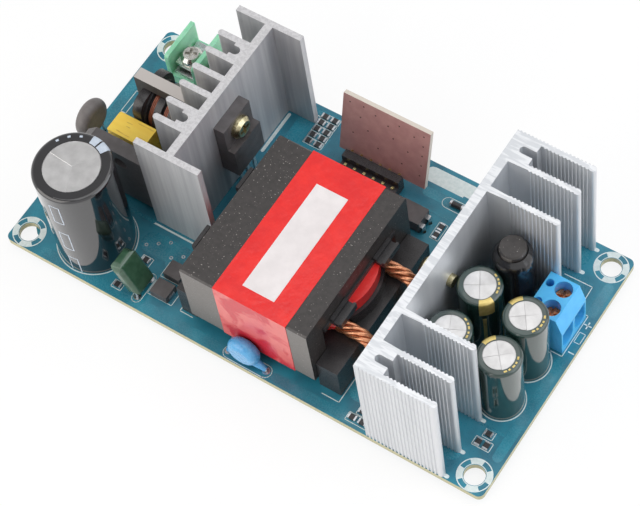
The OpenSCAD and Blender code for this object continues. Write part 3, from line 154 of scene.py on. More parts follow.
addNode(world.node_tree, "ShaderNodeOutputWorld", links={"Surface": sky.outputs[0]})


print("materials")


# Most made surfaces: two tones in soft patches, and a fine grain in the gloss and the bump.
# look: colour and tone (hex), patch and grain (mm), rough (low, high) and relief (mm).
# shader: constant sockets of the shader. stretch: the pattern's scale per axis, small is long.
# face: its own colour and tone where the surface turns over or under a level towards an axis,
# in blots of so many mm; on some finishes this is painted light on the faces that the lamps catch.
# speck: stray spots, their size in mm, how rare and their colour.
# Real spark marks, draw lines and mould grain are about 0.02 mm, too fine to show in a render,
# so every grain here is drawn 0.1 mm or coarser.
def surface(name, look):
    material, tree = newMaterial(name)
    coords = addNode(tree, "ShaderNodeTexCoord")
    place = addNode(tree, "ShaderNodeMapping", {"Scale": look.get("stretch", (1, 1, 1))},
        {"Vector": coords.outputs["Object"]})
    patches = addNode(tree, "ShaderNodeTexNoise",
        {"Scale": perMm(look["patch"]), "Detail": 3.0, "Roughness": 0.55},
        {"Vector": place.outputs[0]})
    grain = addNode(tree, "ShaderNodeTexNoise",
        {"Scale": perMm(look["grain"]), "Detail": 4.0, "Roughness": 0.6},
        {"Vector": place.outputs[0]})
    share = addNode(tree, "ShaderNodeMapRange", {"From Min": 0.35, "From Max": 0.65},
        {"Value": patches.outputs["Fac"]})
    colour = addNode(tree, "ShaderNodeMix", {"data_type": "RGBA", 6: linearColor(look["colour"]),
        7: linearColor(look["tone"])}, {0: share.outputs[0]})
    if "face" in look:
        face = look["face"]
        limit = face.get("over", face.get("under"))
        facing = addNode(tree, "ShaderNodeSeparateXYZ", links={0: coords.outputs["Normal"]})
        size = addNode(tree, "ShaderNodeMath", {"operation": "ABSOLUTE"},
            {0: facing.outputs[face["axis"]]})
        mask = addNode(tree, "ShaderNodeMath",
            {"operation": "GREATER_THAN" if "over" in face else "LESS_THAN", 1: limit},
            {0: size.outputs[0]})
        along = addNode(tree, "ShaderNodeMapping", {"Scale": face.get("stretch", (1, 1, 1))},
            {"Vector": coords.outputs["Object"]})
        blot = addNode(tree, "ShaderNodeTexNoise",
            {"Scale": perMm(face.get("blot", 8)), "Detail": 3.0, "Distortion": 1.0},
            {"Vector": along.outputs[0]})
        edge = addNode(tree, "ShaderNodeMapRange", {"From Min": 0.45, "From Max": 0.56},
            {"Value": blot.outputs["Fac"]})
        across = addNode(tree, "ShaderNodeMix", {"data_type": "RGBA",
            6: linearColor(face["colour"]), 7: linearColor(face.get("tone", face["colour"]))},
            {0: edge.outputs[0]})
        colour = addNode(tree, "ShaderNodeMix", {"data_type": "RGBA"},
            {0: mask.outputs[0], 6: colour.outputs[2], 7: across.outputs[2]})
    if "speck" in look:
        speck = look["speck"]
        spots = addNode(tree, "ShaderNodeTexNoise", {"Scale": perMm(speck["size"]), "Detail": 0.0},
            {"Vector": place.outputs[0]})
        mask = addNode(tree, "ShaderNodeMath", {"operation": "GREATER_THAN", 1: speck["rare"]},
            {0: spots.outputs["Fac"]})
        colour = addNode(tree, "ShaderNodeMix",
            {"data_type": "RGBA", 7: linearColor(speck["colour"])},
            {0: mask.outputs[0], 6: colour.outputs[2]})
    gloss = addNode(tree, "ShaderNodeMapRange", {"From Min": 0.3, "From Max": 0.7,
        "To Min": look["rough"][0], "To Max": look["rough"][1]}, {"Value": grain.outputs["Fac"]})
    relief = addNode(tree, "ShaderNodeBump", {"Strength": look.get("strength", 0.5),
        "Distance": look["relief"] * mm}, {"Height": grain.outputs["Fac"]})
    shader = addNode(tree, "ShaderNodeBsdfPrincipled", look.get("shader"),
        {"Base Color": colour.outputs[2], "Roughness": gloss.outputs[0],
            "Normal": relief.outputs[0]})
    addNode(tree, "ShaderNodeOutputMaterial", links={"Surface": shader.outputs[0]})
    return material


metal = {"Metallic": 1.0}

# one finish for each material slot of the record, and the choke's own wire
finishes = {
    # reflowed tin: bright, a little cloudy where it set
    "solder": surface("tin_solder_fillet", dict(colour="d3d5d8", tone="aeb2b8", patch=1.2,
        grain=0.4, rough=(0.22, 0.42), relief=0.02, shader=metal)),
    # dipped component wire: silver with fine draw lines down its length
    "tin": surface("tinned_copper_wire", dict(colour="d2d4d6", tone="a9acb0", patch=1.0,
        grain=0.15, rough=(0.2, 0.4), relief=0.008, stretch=(1, 1, 0.15), shader=metal)),
    # barrel-plated steel: shiny with soft wear
    "nickel": surface("nickel_plated_steel", dict(colour="dad9d4", tone="b4b3ae", patch=1.6,
        grain=0.2, rough=(0.16, 0.34), relief=0.006, shader=metal)),
    # a breath of gold over nickel: pale yellow, the nickel greys it here and there
    "gold": surface("gold_flashed_pin", dict(colour="e6d6a4", tone="bda970", patch=0.8,
        grain=0.2, rough=(0.2, 0.35), relief=0.005, shader=metal)),
    # glass-filled green housing: milky colour with light in its thin walls
    "green_plastic": surface("moulded_green_polyamide", dict(colour="8bcca9", tone="9cd8b7",
        patch=3.0, grain=0.12, rough=(0.28, 0.42), relief=0.01,
        shader={"Subsurface Weight": 0.45, "Subsurface Radius": (0.4, 1.0, 0.6),
            "Subsurface Scale": 0.002})),
    # moulded box cast full of resin: warm satin yellow with a few short flow streaks
    "yellow_plastic": surface("moulded_yellow_capacitor_box", dict(colour="fddb5c",
        tone="f5cd4c", patch=3.0, grain=0.15, rough=(0.34, 0.5), relief=0.012,
        stretch=(0.2, 1, 1), speck=dict(size=0.5, rare=0.74, colour="d9b148"),
        shader={"Subsurface Weight": 0.1, "Subsurface Scale": 0.0006})),
    # silicone dip: dull warm grey with an uneven skin
    "dark_coating": surface("dipped_thermistor_silicone", dict(colour="6b6665", tone="767170",
        patch=1.8, grain=0.5, rough=(0.4, 0.6), relief=0.06)),
    # pressed ferrite under a thin coat: dark sides; the top and bottom faces are painted pale, painted
    # light where the lamps fall on the top bar
    "choke_ferrite": surface("coated_choke_ferrite", dict(colour="4e4a48", tone="42403e",
        patch=1.5, grain=0.25, rough=(0.4, 0.6), relief=0.02,
        face=dict(axis="Z", over=0.7, colour="beb8b4"))),
    # moulded nylon: near black with a satin shine
    "black_plastic": surface("moulded_black_nylon", dict(colour="2c2a2c", tone="343234",
        patch=2.0, grain=0.12, rough=(0.22, 0.36), relief=0.012)),
    # enamel over copper: metal under a clear warm coat
    "copper": surface("enamelled_copper_wire", dict(colour="eaa67c", tone="bb7755", patch=1.5,
        grain=0.2, rough=(0.22, 0.36), relief=0.005,
        shader={"Metallic": 0.75, "Coat Weight": 0.3, "Coat Roughness": 0.12})),
    # thick dark enamel over copper: reddish brown, the metal hardly gleams through
    "choke_copper": surface("dark_enamelled_wire", dict(colour="a8674f", tone="7c4433",
        patch=1.2, grain=0.2, rough=(0.3, 0.45), relief=0.005,
        shader={"Metallic": 0.4, "Coat Weight": 0.3, "Coat Roughness": 0.15})),
    # transfer-moulded body: finely sparked, grey rather than black
    "epoxy": surface("moulded_epoxy_body", dict(colour="4c4848", tone="5a5657", patch=2.4,
        grain=0.22, rough=(0.34, 0.5), relief=0.04)),
    # deep-drawn aluminium: soft grey, a little cloudy
    "can_aluminium": surface("drawn_aluminium_can", dict(colour="cfcece", tone="c0bfbf",
        patch=2.5, grain=0.3, rough=(0.28, 0.42), relief=0.01, shader=metal)),
    # heat-shrunk film: very smooth, with long clear reflections
    "black_sleeve": surface("shrunk_black_film", dict(colour="151417", tone="1c1b20", patch=5.0,
        grain=1.2, rough=(0.07, 0.13), relief=0.02,
        shader={"Coat Weight": 1.0, "Coat Roughness": 0.05})),
    # the same film in dark green, a shade less glossy
    "green_sleeve": surface("shrunk_dark_green_film", dict(colour="203530", tone="29413c",
        patch=4.0, grain=1.0, rough=(0.08, 0.14), relief=0.015,
        shader={"Coat Weight": 0.7, "Coat Roughness": 0.05})),
    # pressed rubber: mat and black
    "seal_rubber": surface("pressed_seal_rubber", dict(colour="1d1c1c", tone="262525",
        patch=1.0, grain=0.2, rough=(0.6, 0.8), relief=0.02)),
    # epoxy dip over a wound body: dark green, glossy, gently uneven
    "green_coating": surface("dipped_green_epoxy", dict(colour="33533f", tone="40634d",
        patch=2.0, grain=0.9, rough=(0.14, 0.26), relief=0.06, shader={"Coat Weight": 0.4})),
    # epoxy dip over a ceramic disc: light blue with a soft shine
    "blue_coating": surface("dipped_blue_epoxy", dict(colour="4a9dd6", tone="5cace0",
        patch=1.8, grain=0.8, rough=(0.2, 0.34), relief=0.05, shader={"Coat Weight": 0.3})),
    # zinc with a yellow passivation: pale straw-coloured metal
    "brass_screw": surface("yellow_zinc_steel", dict(colour="cdc4a2", tone="a59c7a", patch=1.0,
        grain=0.2, rough=(0.22, 0.38), relief=0.008, shader=metal)),
    # copper wash on steel: a red gleam down in the terminal's wells
    "copper_screw": surface("copper_flashed_steel", dict(colour="d08e66", tone="9c5f42",
        patch=1.0, grain=0.2, rough=(0.2, 0.36), relief=0.008, shader=metal)),
    # shrunk vinyl tube: black, with ripples that break up its shine
    "shrink_sleeve": surface("shrunk_black_tube", dict(colour="161518", tone="1e1d21",
        patch=3.0, grain=0.9, rough=(0.16, 0.28), relief=0.09, shader={"Coat Weight": 0.4})),
    # moulded blue housing: clean light blue, lit from inside at its edges
    "blue_plastic": surface("moulded_blue_polyamide", dict(colour="4cb8f4", tone="58c0f7",
        patch=3.0, grain=0.15, rough=(0.26, 0.38), relief=0.01,
        shader={"Subsurface Weight": 0.2, "Subsurface Radius": (0.3, 0.6, 1.0),
            "Subsurface Scale": 0.001})),
    # glazed resistor ceramic: small, dark, with a gleam
    "chip_black": surface("glazed_chip_ceramic", dict(colour="2a292b", tone="383739",
        patch=0.7, grain=0.1, rough=(0.25, 0.45), relief=0.006)),
    # paper laminate with no mask on it: dusty pink, cream where it was cut
    "control_laminate": surface("bare_paper_laminate", dict(colour="bd9591", tone="b08885",
        patch=2.5, grain=0.3, rough=(0.35, 0.5), relief=0.012,
        face=dict(axis="Y", under=0.6, colour="d9d0c4"))),
    # coated paper: clean off-white with hardly a shine
    "label": surface("coated_label_paper", dict(colour="e9e3e3", tone="dfd9d9", patch=4.0,
        grain=0.3, rough=(0.45, 0.6), relief=0.01)),
    # ground ferrite: charcoal with stray pale grains; its two glossy ground end faces are painted
    # lighter, a painted reflection standing in for their gloss
    "ferrite": surface("ground_ferrite", dict(colour="3b3736", tone="302d2c", patch=1.2,
        grain=0.25, rough=(0.3, 0.5), relief=0.02,
        face=dict(axis="Y", over=0.9, colour="716d6a"),
        speck=dict(size=0.34, rare=0.79, colour="a19b97"))),
    # polyester tape: bright red, glossy, creased; pale blots on the faces turned to the front and back
    # are painted highlight, where the front light catches the tape
    "red_tape": surface("polyester_tape", dict(colour="ec2e2a", tone="de2526", patch=4.0,
        grain=2.2, rough=(0.14, 0.24), relief=0.16,
        face=dict(axis="Y", over=0.9, colour="e06a66", tone="cc2833"))),
    # old extruded profile: dull with die lines up the faces, mottled where it was sawn
    "primary_aluminium": surface("extruded_aluminium_dull", dict(colour="c6c7c9",
        tone="b3b4b8", patch=1.4, grain=0.3, rough=(0.4, 0.55), relief=0.01,
        stretch=(1, 1, 0.03), shader={"Metallic": 0.45},
        face=dict(axis="Z", over=0.7, colour="cfced0", tone="c1c0c2", blot=0.8))),
    # fresh extruded profile: bright, with die lines up the ribs and saw marks across the top
    "output_aluminium": surface("extruded_aluminium_bright", dict(colour="dcdee1",
        tone="c9ccd0", patch=6.0, grain=0.25, rough=(0.3, 0.45), relief=0.01,
        stretch=(1, 1, 0.03), shader={"Metallic": 0.5},
        face=dict(axis="Z", over=0.7, colour="e0e2e5", tone="cdd0d4", blot=0.9,
            stretch=(0.14, 1, 1)))),
    # cured solder mask on laminate: smooth teal, straw-coloured where it was cut
    "board": surface("solder_mask_teal", dict(colour="2c879d", tone="2a6b80", patch=8.0,
        grain=0.3, rough=(0.25, 0.4), relief=0.01,
        face=dict(axis="Z", under=0.5, colour="b9b48c"))),
}

for part in frame["record"]["subparts"]:
    mesh = nodes[part["node"]].data
    mesh.materials.clear()
    mesh.materials.append(finishes[part["material_slot"]])


# helpers for the new pieces; places are in millimetres
def deselectAll():
    bpy.ops.object.select_all(action="DESELECT")


def applyModifier(piece, kind, settings):
    modifier = piece.modifiers.new("shape", kind)
    for key, value in settings.items():
        setattr(modifier, key, value)
    bpy.context.view_layer.objects.active = piece
    bpy.ops.object.modifier_apply(modifier=modifier.name)


# in edit mode, selects just the verts, edges or faces that pass the test
def pick(piece, kind, test):
    bpy.ops.mesh.select_all(action="DESELECT")
    mesh = bmesh.from_edit_mesh(piece.data)
    for item in getattr(mesh, kind):
        item.select = test(item)
    bmesh.update_edit_mesh(piece.data)


def joinPieces(parts):
    deselectAll()
    for part in parts:
        part.select_set(True)
    bpy.context.view_layer.objects.active = parts[0]
    if len(parts) > 1:
        bpy.ops.object.join()
    return bpy.context.object


def finishPiece(parts, name, finish, smooth=35):
    piece = joinPieces(parts)
    bpy.ops.object.transform_apply(location=True, rotation=True, scale=True)
    bpy.ops.object.mode_set(mode="EDIT")
    bpy.ops.mesh.select_all(action="SELECT")
    bpy.ops.mesh.remove_doubles(threshold=0.002 * mm)
    bpy.ops.mesh.normals_make_consistent(inside=False)
    bpy.ops.object.mode_set(mode="OBJECT")
    if smooth:
        bpy.ops.object.shade_smooth_by_angle(angle=math.radians(smooth))
    piece.name = name
    piece.data.materials.clear()
    piece.data.materials.append(finish)
    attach(piece, "root")
    return piece


def boxOf(node):
    low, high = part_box(node)
    return [c / mm for c in low], [c / mm for c in high]


def middleOf(low, high):
    return [(a + b) / 2 for a, b in zip(low, high)]


boardTop = boxOf("circuit_board")[1][2]
barShape = dict(sunk=0.02, endRound=0.46, endSteps=3)


# one bar of a printed line, with round ends, lying on the board and sunk a hair into it
def bar(a, b, width, height=0.03, level=None):
    level = boardTop if level is None else level
    run = Vector((b[0] - a[0], b[1] - a[1]))
    bpy.ops.mesh.primitive_cube_add(size=1,
        location=((a[0] + b[0]) / 2 * mm, (a[1] + b[1]) / 2 * mm,
            (level + height / 2 - barShape["sunk"] / 2) * mm),
        rotation=(0, 0, math.atan2(run.y, run.x)),
        scale=((run.length + width) * mm, width * mm, (height + barShape["sunk"]) * mm))
    piece = bpy.context.object
    bpy.ops.object.transform_apply(location=False, rotation=False, scale=True)
    bpy.ops.object.mode_set(mode="EDIT")
    bpy.ops.mesh.select_mode(type="EDGE")   # in vertex mode the bevel would take every edge
    pick(piece, "edges", lambda edge: abs(edge.verts[0].co.z - edge.verts[1].co.z) > height * 0.5 * mm)
    bpy.ops.mesh.bevel(offset=width * barShape["endRound"] * mm, segments=barShape["endSteps"],
        affect="EDGES")
    bpy.ops.mesh.select_mode(type="VERT")
    bpy.ops.object.mode_set(mode="OBJECT")
    return piece


def outline(points, width, closed=True):
    points = list(points)
    ends = points[1:] + points[:1] if closed else points[1:]
    return [bar(a, b, width) for a, b in zip(points, ends)]


def rectangle(x1, y1, x2, y2, width):
    return outline([(x1, y1), (x2, y1), (x2, y2), (x1, y2)], width)


# long printed shape with two round ends, along X or Y
def pill(x, y, halfLong, radius, alongY=False, width=0.18, steps=8):
    points = []
    for end in (1, -1):
        for k in range(steps + 1):
            a = math.radians((-90 if end > 0 else 90) + 180 * k / steps)
            points.append((end * halfLong + radius * math.cos(a), radius * math.sin(a)))
    if alongY:
        points = [(-v, u) for u, v in points]
    return outline([(x + u, y + v) for u, v in points], width)


# flat ring on the board: a circle stretched outward in steps, windows cut from the middle band
def printedRing(x, y, radii, windows=(), half=20, sides=72, height=0.03):
    bpy.ops.mesh.primitive_circle_add(vertices=sides, radius=radii[0] * mm, fill_type="NOTHING",
        location=(x * mm, y * mm, boardTop * mm))
    piece = bpy.context.object
    bpy.ops.object.mode_set(mode="EDIT")
    for inner, outer in zip(radii, radii[1:]):
        bpy.ops.mesh.extrude_edges_move()
        bpy.ops.transform.resize(value=(outer / inner, outer / inner, 1))

    def inWindow(face):
        place = face.calc_center_median()
        around = math.degrees(math.atan2(place.y, place.x)) % 360
        band = radii[1] * mm < place.length < radii[-2] * mm
        return band and any(abs((around - w + 180) % 360 - 180) < half for w in windows)

    if windows:
        pick(piece, "faces", inWindow)
        bpy.ops.mesh.delete(type="FACE")
    bpy.ops.object.mode_set(mode="OBJECT")
    applyModifier(piece, "SOLIDIFY", {"thickness": 2 * height * mm, "offset": 0.0})
    return piece


print("board print")
# epoxy ink pressed through a screen: flat, chalky, very slightly blue from the mask below
printInk = surface("screened_white_ink", dict(colour="dfe9e8", tone="cfdddc", patch=0.8,
    grain=0.15, rough=(0.5, 0.7), relief=0.01))
holes = frame["record"]["mounts"][0]["dims"]    # the four corner holes
bulkLow, bulkHigh = boxOf("bulk_capacitor_sleeve")
bulkX, bulkY = middleOf(bulkLow, bulkHigh)[:2]
sinkHigh = boxOf("output_heatsink")[1]
coreLow, coreHigh = boxOf("transformer_core_top")
railLow, railHigh = boxOf("transformer_bobbin")
outputCans = ((43.3, 1.4), (55.3, -0.1), (43.3, -10.8), (55.3, -10.8))     # as the solids stand
boardPrint = dict(
    cornerRing=(2.52, 2.7, 3.74, 3.98), cornerWindows=(67, 157, 247, 337),
    canRings=[(bulkX, bulkY, (9.3, 9.55)), (46.0, 10.6, (4.75, 4.95))]
        + [(x, y, (5.15, 5.4)) for x, y in outputCans],
    finBar=0.9, finBarFrom=sinkHigh[0] - 4, finBarTo=sinkHigh[0] + 0.5,
    finBarsAt=(-32.25, -25.75, -17.25, 16.25, 24.75, 31.25),
    lines=(     # width, then points
        (3.9, (12.6, 29.95), (22.7, 29.95)),        # bare field for a name
        (0.8, (-25.0, 15.9), (-25.0, 27.2)),
        (0.45, (-37.5, -12.6), (-20.5, -12.6), (-20.5, -12.0)),
        (0.2, (-27.7, 30.3), (-17.9, 30.3), (-17.9, 26.0)),
        (0.2, (railLow[0] + 3, coreLow[1] + 0.6), (railLow[0] - 0.4, coreLow[1] + 0.6),
            (railLow[0] - 0.4, coreHigh[1] - 0.6), (coreHigh[0] + 0.5, coreHigh[1] + 0.6),
            (railHigh[0] + 0.4, coreHigh[1] + 0.6), (railHigh[0] + 0.4, coreLow[1] - 0.4),
            (railHigh[0] - 4, coreLow[1] - 0.4)),   # round the transformer
        (0.2, (51.5, 22.5), (58.4, 22.6), (58.6, 16.0)),
        (0.2, (51.9, 15.9), (61.2, 15.9), (61.2, 4.5), (51.9, 4.5)),
        (0.3, (61.5, 13.8), (63.1, 13.8)),          # plus
        (0.3, (62.3, 13.0), (62.3, 14.6)),
        (0.3, (61.9, 6.2), (63.1, 6.2))),           # minus
    frames=[        # width, then two corners
        (0.18, 61.6, 8.9, 63.0, 11.6), (0.18, -60.3, 8.4, -58.9, 14.9),
        (0.16, 20.6, 15.5, 22.8, 20.0), (0.16, 55.1, -23.1, 59.3, -20.9),
        (0.16, 56.1, -20.4, 58.5, -18.3), (0.16, 28.6, -32.0, 33.9, -29.9),
        (0.16, 30.0, -29.7, 32.5, -27.5), (0.16, -34.9, -31.0, -32.3, -29.0),
        (0.16, -33.0, -24.6, -30.2, -20.6), (0.16, -26.6, -28.3, -20.0, -24.4),
        (0.16, -26.6, -23.2, -20.0, -19.2), (0.16, -58.6, -6.6, -55.6, 5.4)]
        + [(0.14, -18.25, 22.55 + k * 1.85, -13.35, 24.2 + k * 1.85) for k in range(5)],
    pills=((2.65, -31.2, 4.7, 1.55, False), (-28, -27.65, 2.9, 1.15, True),
        (22.2, 25.25, 2.6, 1.4, False)))
marks = [printedRing(sx * holes["spacing_x_mm"] / 2, sy * holes["spacing_y_mm"] / 2,
    boardPrint["cornerRing"], boardPrint["cornerWindows"]) for sx in (-1, 1) for sy in (-1, 1)]
marks += [printedRing(x, y, radii) for x, y, radii in boardPrint["canRings"]]
for y in boardPrint["finBarsAt"]:
    marks.append(bar((boardPrint["finBarFrom"], y), (boardPrint["finBarTo"], y), boardPrint["finBar"]))
for width, *points in boardPrint["lines"]:
    marks += outline(points, width, closed=False)
for width, *corners in boardPrint["frames"]:
    marks += rectangle(*corners, width)
for x, y, halfLong, radius, alongY in boardPrint["pills"]:
    marks += pill(x, y, halfLong, radius, alongY)
finishPiece(marks, "board_print", printInk, smooth=0)

print("board copper")
# mask over rolled copper: the same teal, lighter and glossier, and a hair proud
maskedCopper = surface("mask_over_copper", dict(colour="318ba0", tone="2b768b", patch=6.0,
    grain=0.35, rough=(0.2, 0.34), relief=0.01,
    shader={"Coat Weight": 0.35, "Coat Roughness": 0.12}))
# each bar: start, end and width; rise lifts each above the last, so that none share a plane
boardCopper = dict(pourHeight=0.012, trackHeight=0.03, underHeight=0.016, underLevel=-0.012,
    rise=0.0008,
    pours=(
        ((-56, 17.5), (-47, 17.5), 4.6), ((-42, 26), (-38, 26), 7), ((-61.8, -20), (-61.8, 18), 2.2),
        ((-53, -31.4), (-6, -31.4), 2.6), ((-33, -17), (-20, -17), 5.5), ((-31, -15), (-22, -24), 2.2),
        ((-15.2, 15.2), (8, 15.2), 3.2), ((-21, 13), (-21, 27), 3.4), ((14, 25.5), (32, 25.5), 2.4),
        ((26, 21), (32.6, 21), 4.5), ((10, -31.4), (30, -31.4), 2.2), ((53, -27), (40, -27), 3.0),
        ((61.6, -23), (61.6, 3), 2.4), ((61.6, 17), (61.6, 24), 2.4), ((40, 20.5), (55, 20.5), 5.2),
        ((49.4, -16.0), (49.4, 5.4), 2.4), ((38.5, 28), (52.6, 28), 3.8),
        ((-53, 31.4), (24, 31.4), 1.4), ((28.5, -24), (28.5, 8), 6.4)),
    tracks=(
        ((-46, 17.5), (-38, 12), 0.8), ((-30, -12), (-19, -12), 0.7), ((-19, -12), (-16.5, -9), 0.7),
        ((15, 21.5), (24, 21.5), 0.5), ((24, 21.5), (24, 14), 0.5), ((-12, 13), (14, 13), 0.5),
        ((60, -18), (54, -18), 0.7), ((54, -18), (51, -15.5), 0.7), ((22, 28.2), (34, 28.2), 0.5),
        ((-36, 21), (-36, 30), 0.9), ((-52, -12.4), (-36, -12.4), 0.9), ((36, 23), (58, 23), 0.6),
        ((-8, 20), (-13, 20), 0.5), ((-13, 20), (-13, 26), 0.5)),
    under=(     # wide mains and output copper on the solder side
        ((-55, 20), (-55, -12), 7), ((-47, 24), (-47, 8), 6), ((-56, -24), (-38, -24), 9),
        ((-33, -22), (-33, -6), 5), ((-24, -14), (-24, 20), 6), ((-12, -20), (-12, 12), 4.5),
        ((27, -20), (27, 4), 8), ((33, -26), (52, -26), 6), ((46, -18), (46, 8), 11),
        ((57, -14), (57, 20), 5.5), ((-6, 24), (20, 24), 3.5), ((33, 22), (54, 22), 7),
        ((-42, 2), (-30, 2), 1.2), ((-4, -26), (12, -26), 3), ((4, 16), (18, 16), 1.4),
        ((-18, 27), (-18, 30), 2)))


def copperBars(lines, height, level=None):
    return [bar(a, b, width, height + boardCopper["rise"] * k, level)
        for k, (a, b, width) in enumerate(lines)]


finishPiece(copperBars(boardCopper["pours"], boardCopper["pourHeight"])
    + copperBars(boardCopper["tracks"], boardCopper["trackHeight"]),
    "board_copper", maskedCopper, smooth=0)
finishPiece(copperBars(boardCopper["under"], boardCopper["underHeight"], boardCopper["underLevel"]),
    "solder_side_copper", maskedCopper, smooth=0)

# small plated vias, and bright rings where leads come through the top of the board
boardPads = dict(via=(0.22, 0.45), viaSides=14, pad=(0.35, 0.95), padSides=20,
    vias=((-34, -18.2), (-31.7, -16.6), (-29.4, -15), (-27.1, -18.2), (-24.8, -16.6), (-22.5, -15),
        (26.5, 17.2), (28.4, 17.2), (30.3, 17.2), (32.2, 17.2), (26.5, 19.3), (28.4, 19.3),
        (30.3, 19.3), (32.2, 19.3), (38.5, 21.5), (43.6, 20.1), (48.7, 21.5), (53.8, 20.1)),
    pads=((-2.5, -31.0), (7.5, -31.0), (-28, -30.19), (-28, -25.11), (25.5, 25.25)))
pads = [printedRing(x, y, boardPads["via"], sides=boardPads["viaSides"]) for x, y in boardPads["vias"]]
pads += [printedRing(x, y, boardPads["pad"], sides=boardPads["padSides"]) for x, y in boardPads["pads"]]
finishPiece(pads, "board_pads", finishes["solder"], smooth=0)


# wire along a line of points: a round curve, made a mesh at once
def wire(points, radius, sides=3):
    curve = bpy.data.curves.new("wire", "CURVE")
    curve.dimensions = "3D"
    curve.bevel_depth = radius * mm
    curve.bevel_resolution = sides
    curve.use_fill_caps = True
    spline = curve.splines.new("POLY")
    spline.points.add(len(points) - 1)
    for point, place in zip(spline.points, points):
        point.co = (place[0] * mm, place[1] * mm, place[2] * mm, 1)
    piece = bpy.data.objects.new("wire", curve)
    bpy.context.collection.objects.link(piece)
    deselectAll()
    piece.select_set(True)
    bpy.context.view_layer.objects.active = piece
    bpy.ops.object.convert(target="MESH")
    return bpy.context.object


print("secondary leads")
# enamelled strands laid up together, from the coil down to the board; solid and foot are the
# radii of the plain lead that they stand for, turn is in degrees per step along it
strandLead = dict(solid=1.944, foot=1.404, strands=7, strand=0.5, reach=1.22, narrowing=0.2, turn=11,
    step=0.5, bend=3.6, bendStep=6, dropSteps=24, endsAbove=0.35)
leadLow, leadHigh = boxOf("transformer_output_leads")
startX, downX = leadLow[0], leadHigh[0] - strandLead["foot"]
frontY, backY = leadLow[1] + strandLead["solid"], leadHigh[1] - strandLead["solid"]
runZ = leadHigh[2] - strandLead["solid"]
bend = strandLead["bend"]
for side, y in (("front", frontY), ("back", backY)):
    steps = int((downX - bend - startX) / strandLead["step"]) + 1
    path = [(startX + k * strandLead["step"], y, runZ) for k in range(steps)]
    for degrees in range(strandLead["bendStep"], 91, strandLead["bendStep"]):
        a = math.radians(degrees)
        path.append((downX - bend + bend * math.sin(a), y, runZ - bend + bend * math.cos(a)))
    drop = runZ - bend - leadLow[2] - strandLead["endsAbove"]
    path += [(downX, y, runZ - bend - drop * k / strandLead["dropSteps"])
        for k in range(1, strandLead["dropSteps"] + 1)]
    strands = []
    for strand in range(strandLead["strands"]):
        middle = strand == strandLead["strands"] - 1      # one straight strand, the rest lie round it
        points = []
        for k, place in enumerate(path):
            ahead = Vector(path[min(k + 1, len(path) - 1)]) - Vector(path[max(k - 1, 0)])
            across = Vector((0, 1, 0))
            up = across.cross(ahead.normalized())
            turn = math.radians(strand * 360 / (strandLead["strands"] - 1) + k * strandLead["turn"])
            reach = strandLead["reach"] * (1 - strandLead["narrowing"] * k / len(path))
            away = math.cos(turn) * across + math.sin(turn) * up
            points.append(Vector(place) + (0 if middle else reach) * away)
        strands.append(wire(points, strandLead["strand"]))
    lead = finishPiece(strands, "output_lead_strands_" + side, finishes["copper"], smooth=50)
    if side == "back":
        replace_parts(lead, "transformer_output_leads")

# tape wound round the front lead where it leaves the coil: drawn in at its loose end, which is
# cut on the slant, and swept back round the former at the other
rootTape = dict(radius=1.9, length=4.6, sides=32, middle=1.3, taper=0.88, edge=0.12, sunk=0.25,
    slant=0.35, sweepFrom=-2, sweep=(0, -2.0, 1.7))
bpy.ops.mesh.primitive_cylinder_add(vertices=rootTape["sides"], radius=rootTape["radius"] * mm,
    depth=rootTape["length"] * mm, rotation=(0, math.radians(90), 0),
    location=((startX + rootTape["middle"]) * mm, frontY * mm, runZ * mm))
wrap = bpy.context.object
bpy.ops.object.transform_apply(location=False, rotation=True, scale=False)
bpy.ops.object.mode_set(mode="EDIT")
pick(wrap, "faces", lambda face: face.normal.x > 0.9)
bpy.ops.transform.resize(value=(1, rootTape["taper"], rootTape["taper"]))
bpy.ops.mesh.inset(thickness=rootTape["edge"] * mm)
bpy.ops.transform.translate(value=(-rootTape["sunk"] * mm, 0, 0))
for vertex in bmesh.from_edit_mesh(wrap.data).verts:
    vertex.co.x += rootTape["slant"] * vertex.co.z if vertex.co.x > 0 else 0
pick(wrap, "verts", lambda vertex: vertex.co.x < rootTape["sweepFrom"] * mm)
bpy.ops.transform.translate(value=[c * mm for c in rootTape["sweep"]])
bpy.ops.object.mode_set(mode="OBJECT")
finishPiece([wrap], "front_lead_tape", finishes["red_tape"], smooth=40)


# a line of points in the plane of an object's X and Z, grown from one vertex at its origin
def pointLine(origin, line):
    bpy.ops.mesh.primitive_plane_add(size=0.001 * mm, location=[c * mm for c in origin])
    piece = bpy.context.object
    bpy.ops.object.mode_set(mode="EDIT")
    bpy.ops.mesh.merge(type="CENTER")
    bpy.ops.transform.translate(value=(line[0][0] * mm, 0, line[0][1] * mm))
    for a, b in zip(line, line[1:]):
        bpy.ops.mesh.extrude_region_move(
            TRANSFORM_OT_translate={"value": ((b[0] - a[0]) * mm, 0, (b[1] - a[1]) * mm)})
    bpy.ops.object.mode_set(mode="OBJECT")
    return piece


# such a line turned into a shell; the modifier's own merging takes all within 10 mm, so it is off
def turnLine(piece, axis, sweep, steps):
    applyModifier(piece, "SCREW", {"angle": math.radians(sweep), "steps": steps,
        "render_steps": steps, "screw_offset": 0, "axis": axis, "use_merge_vertices": False})


print("choke")
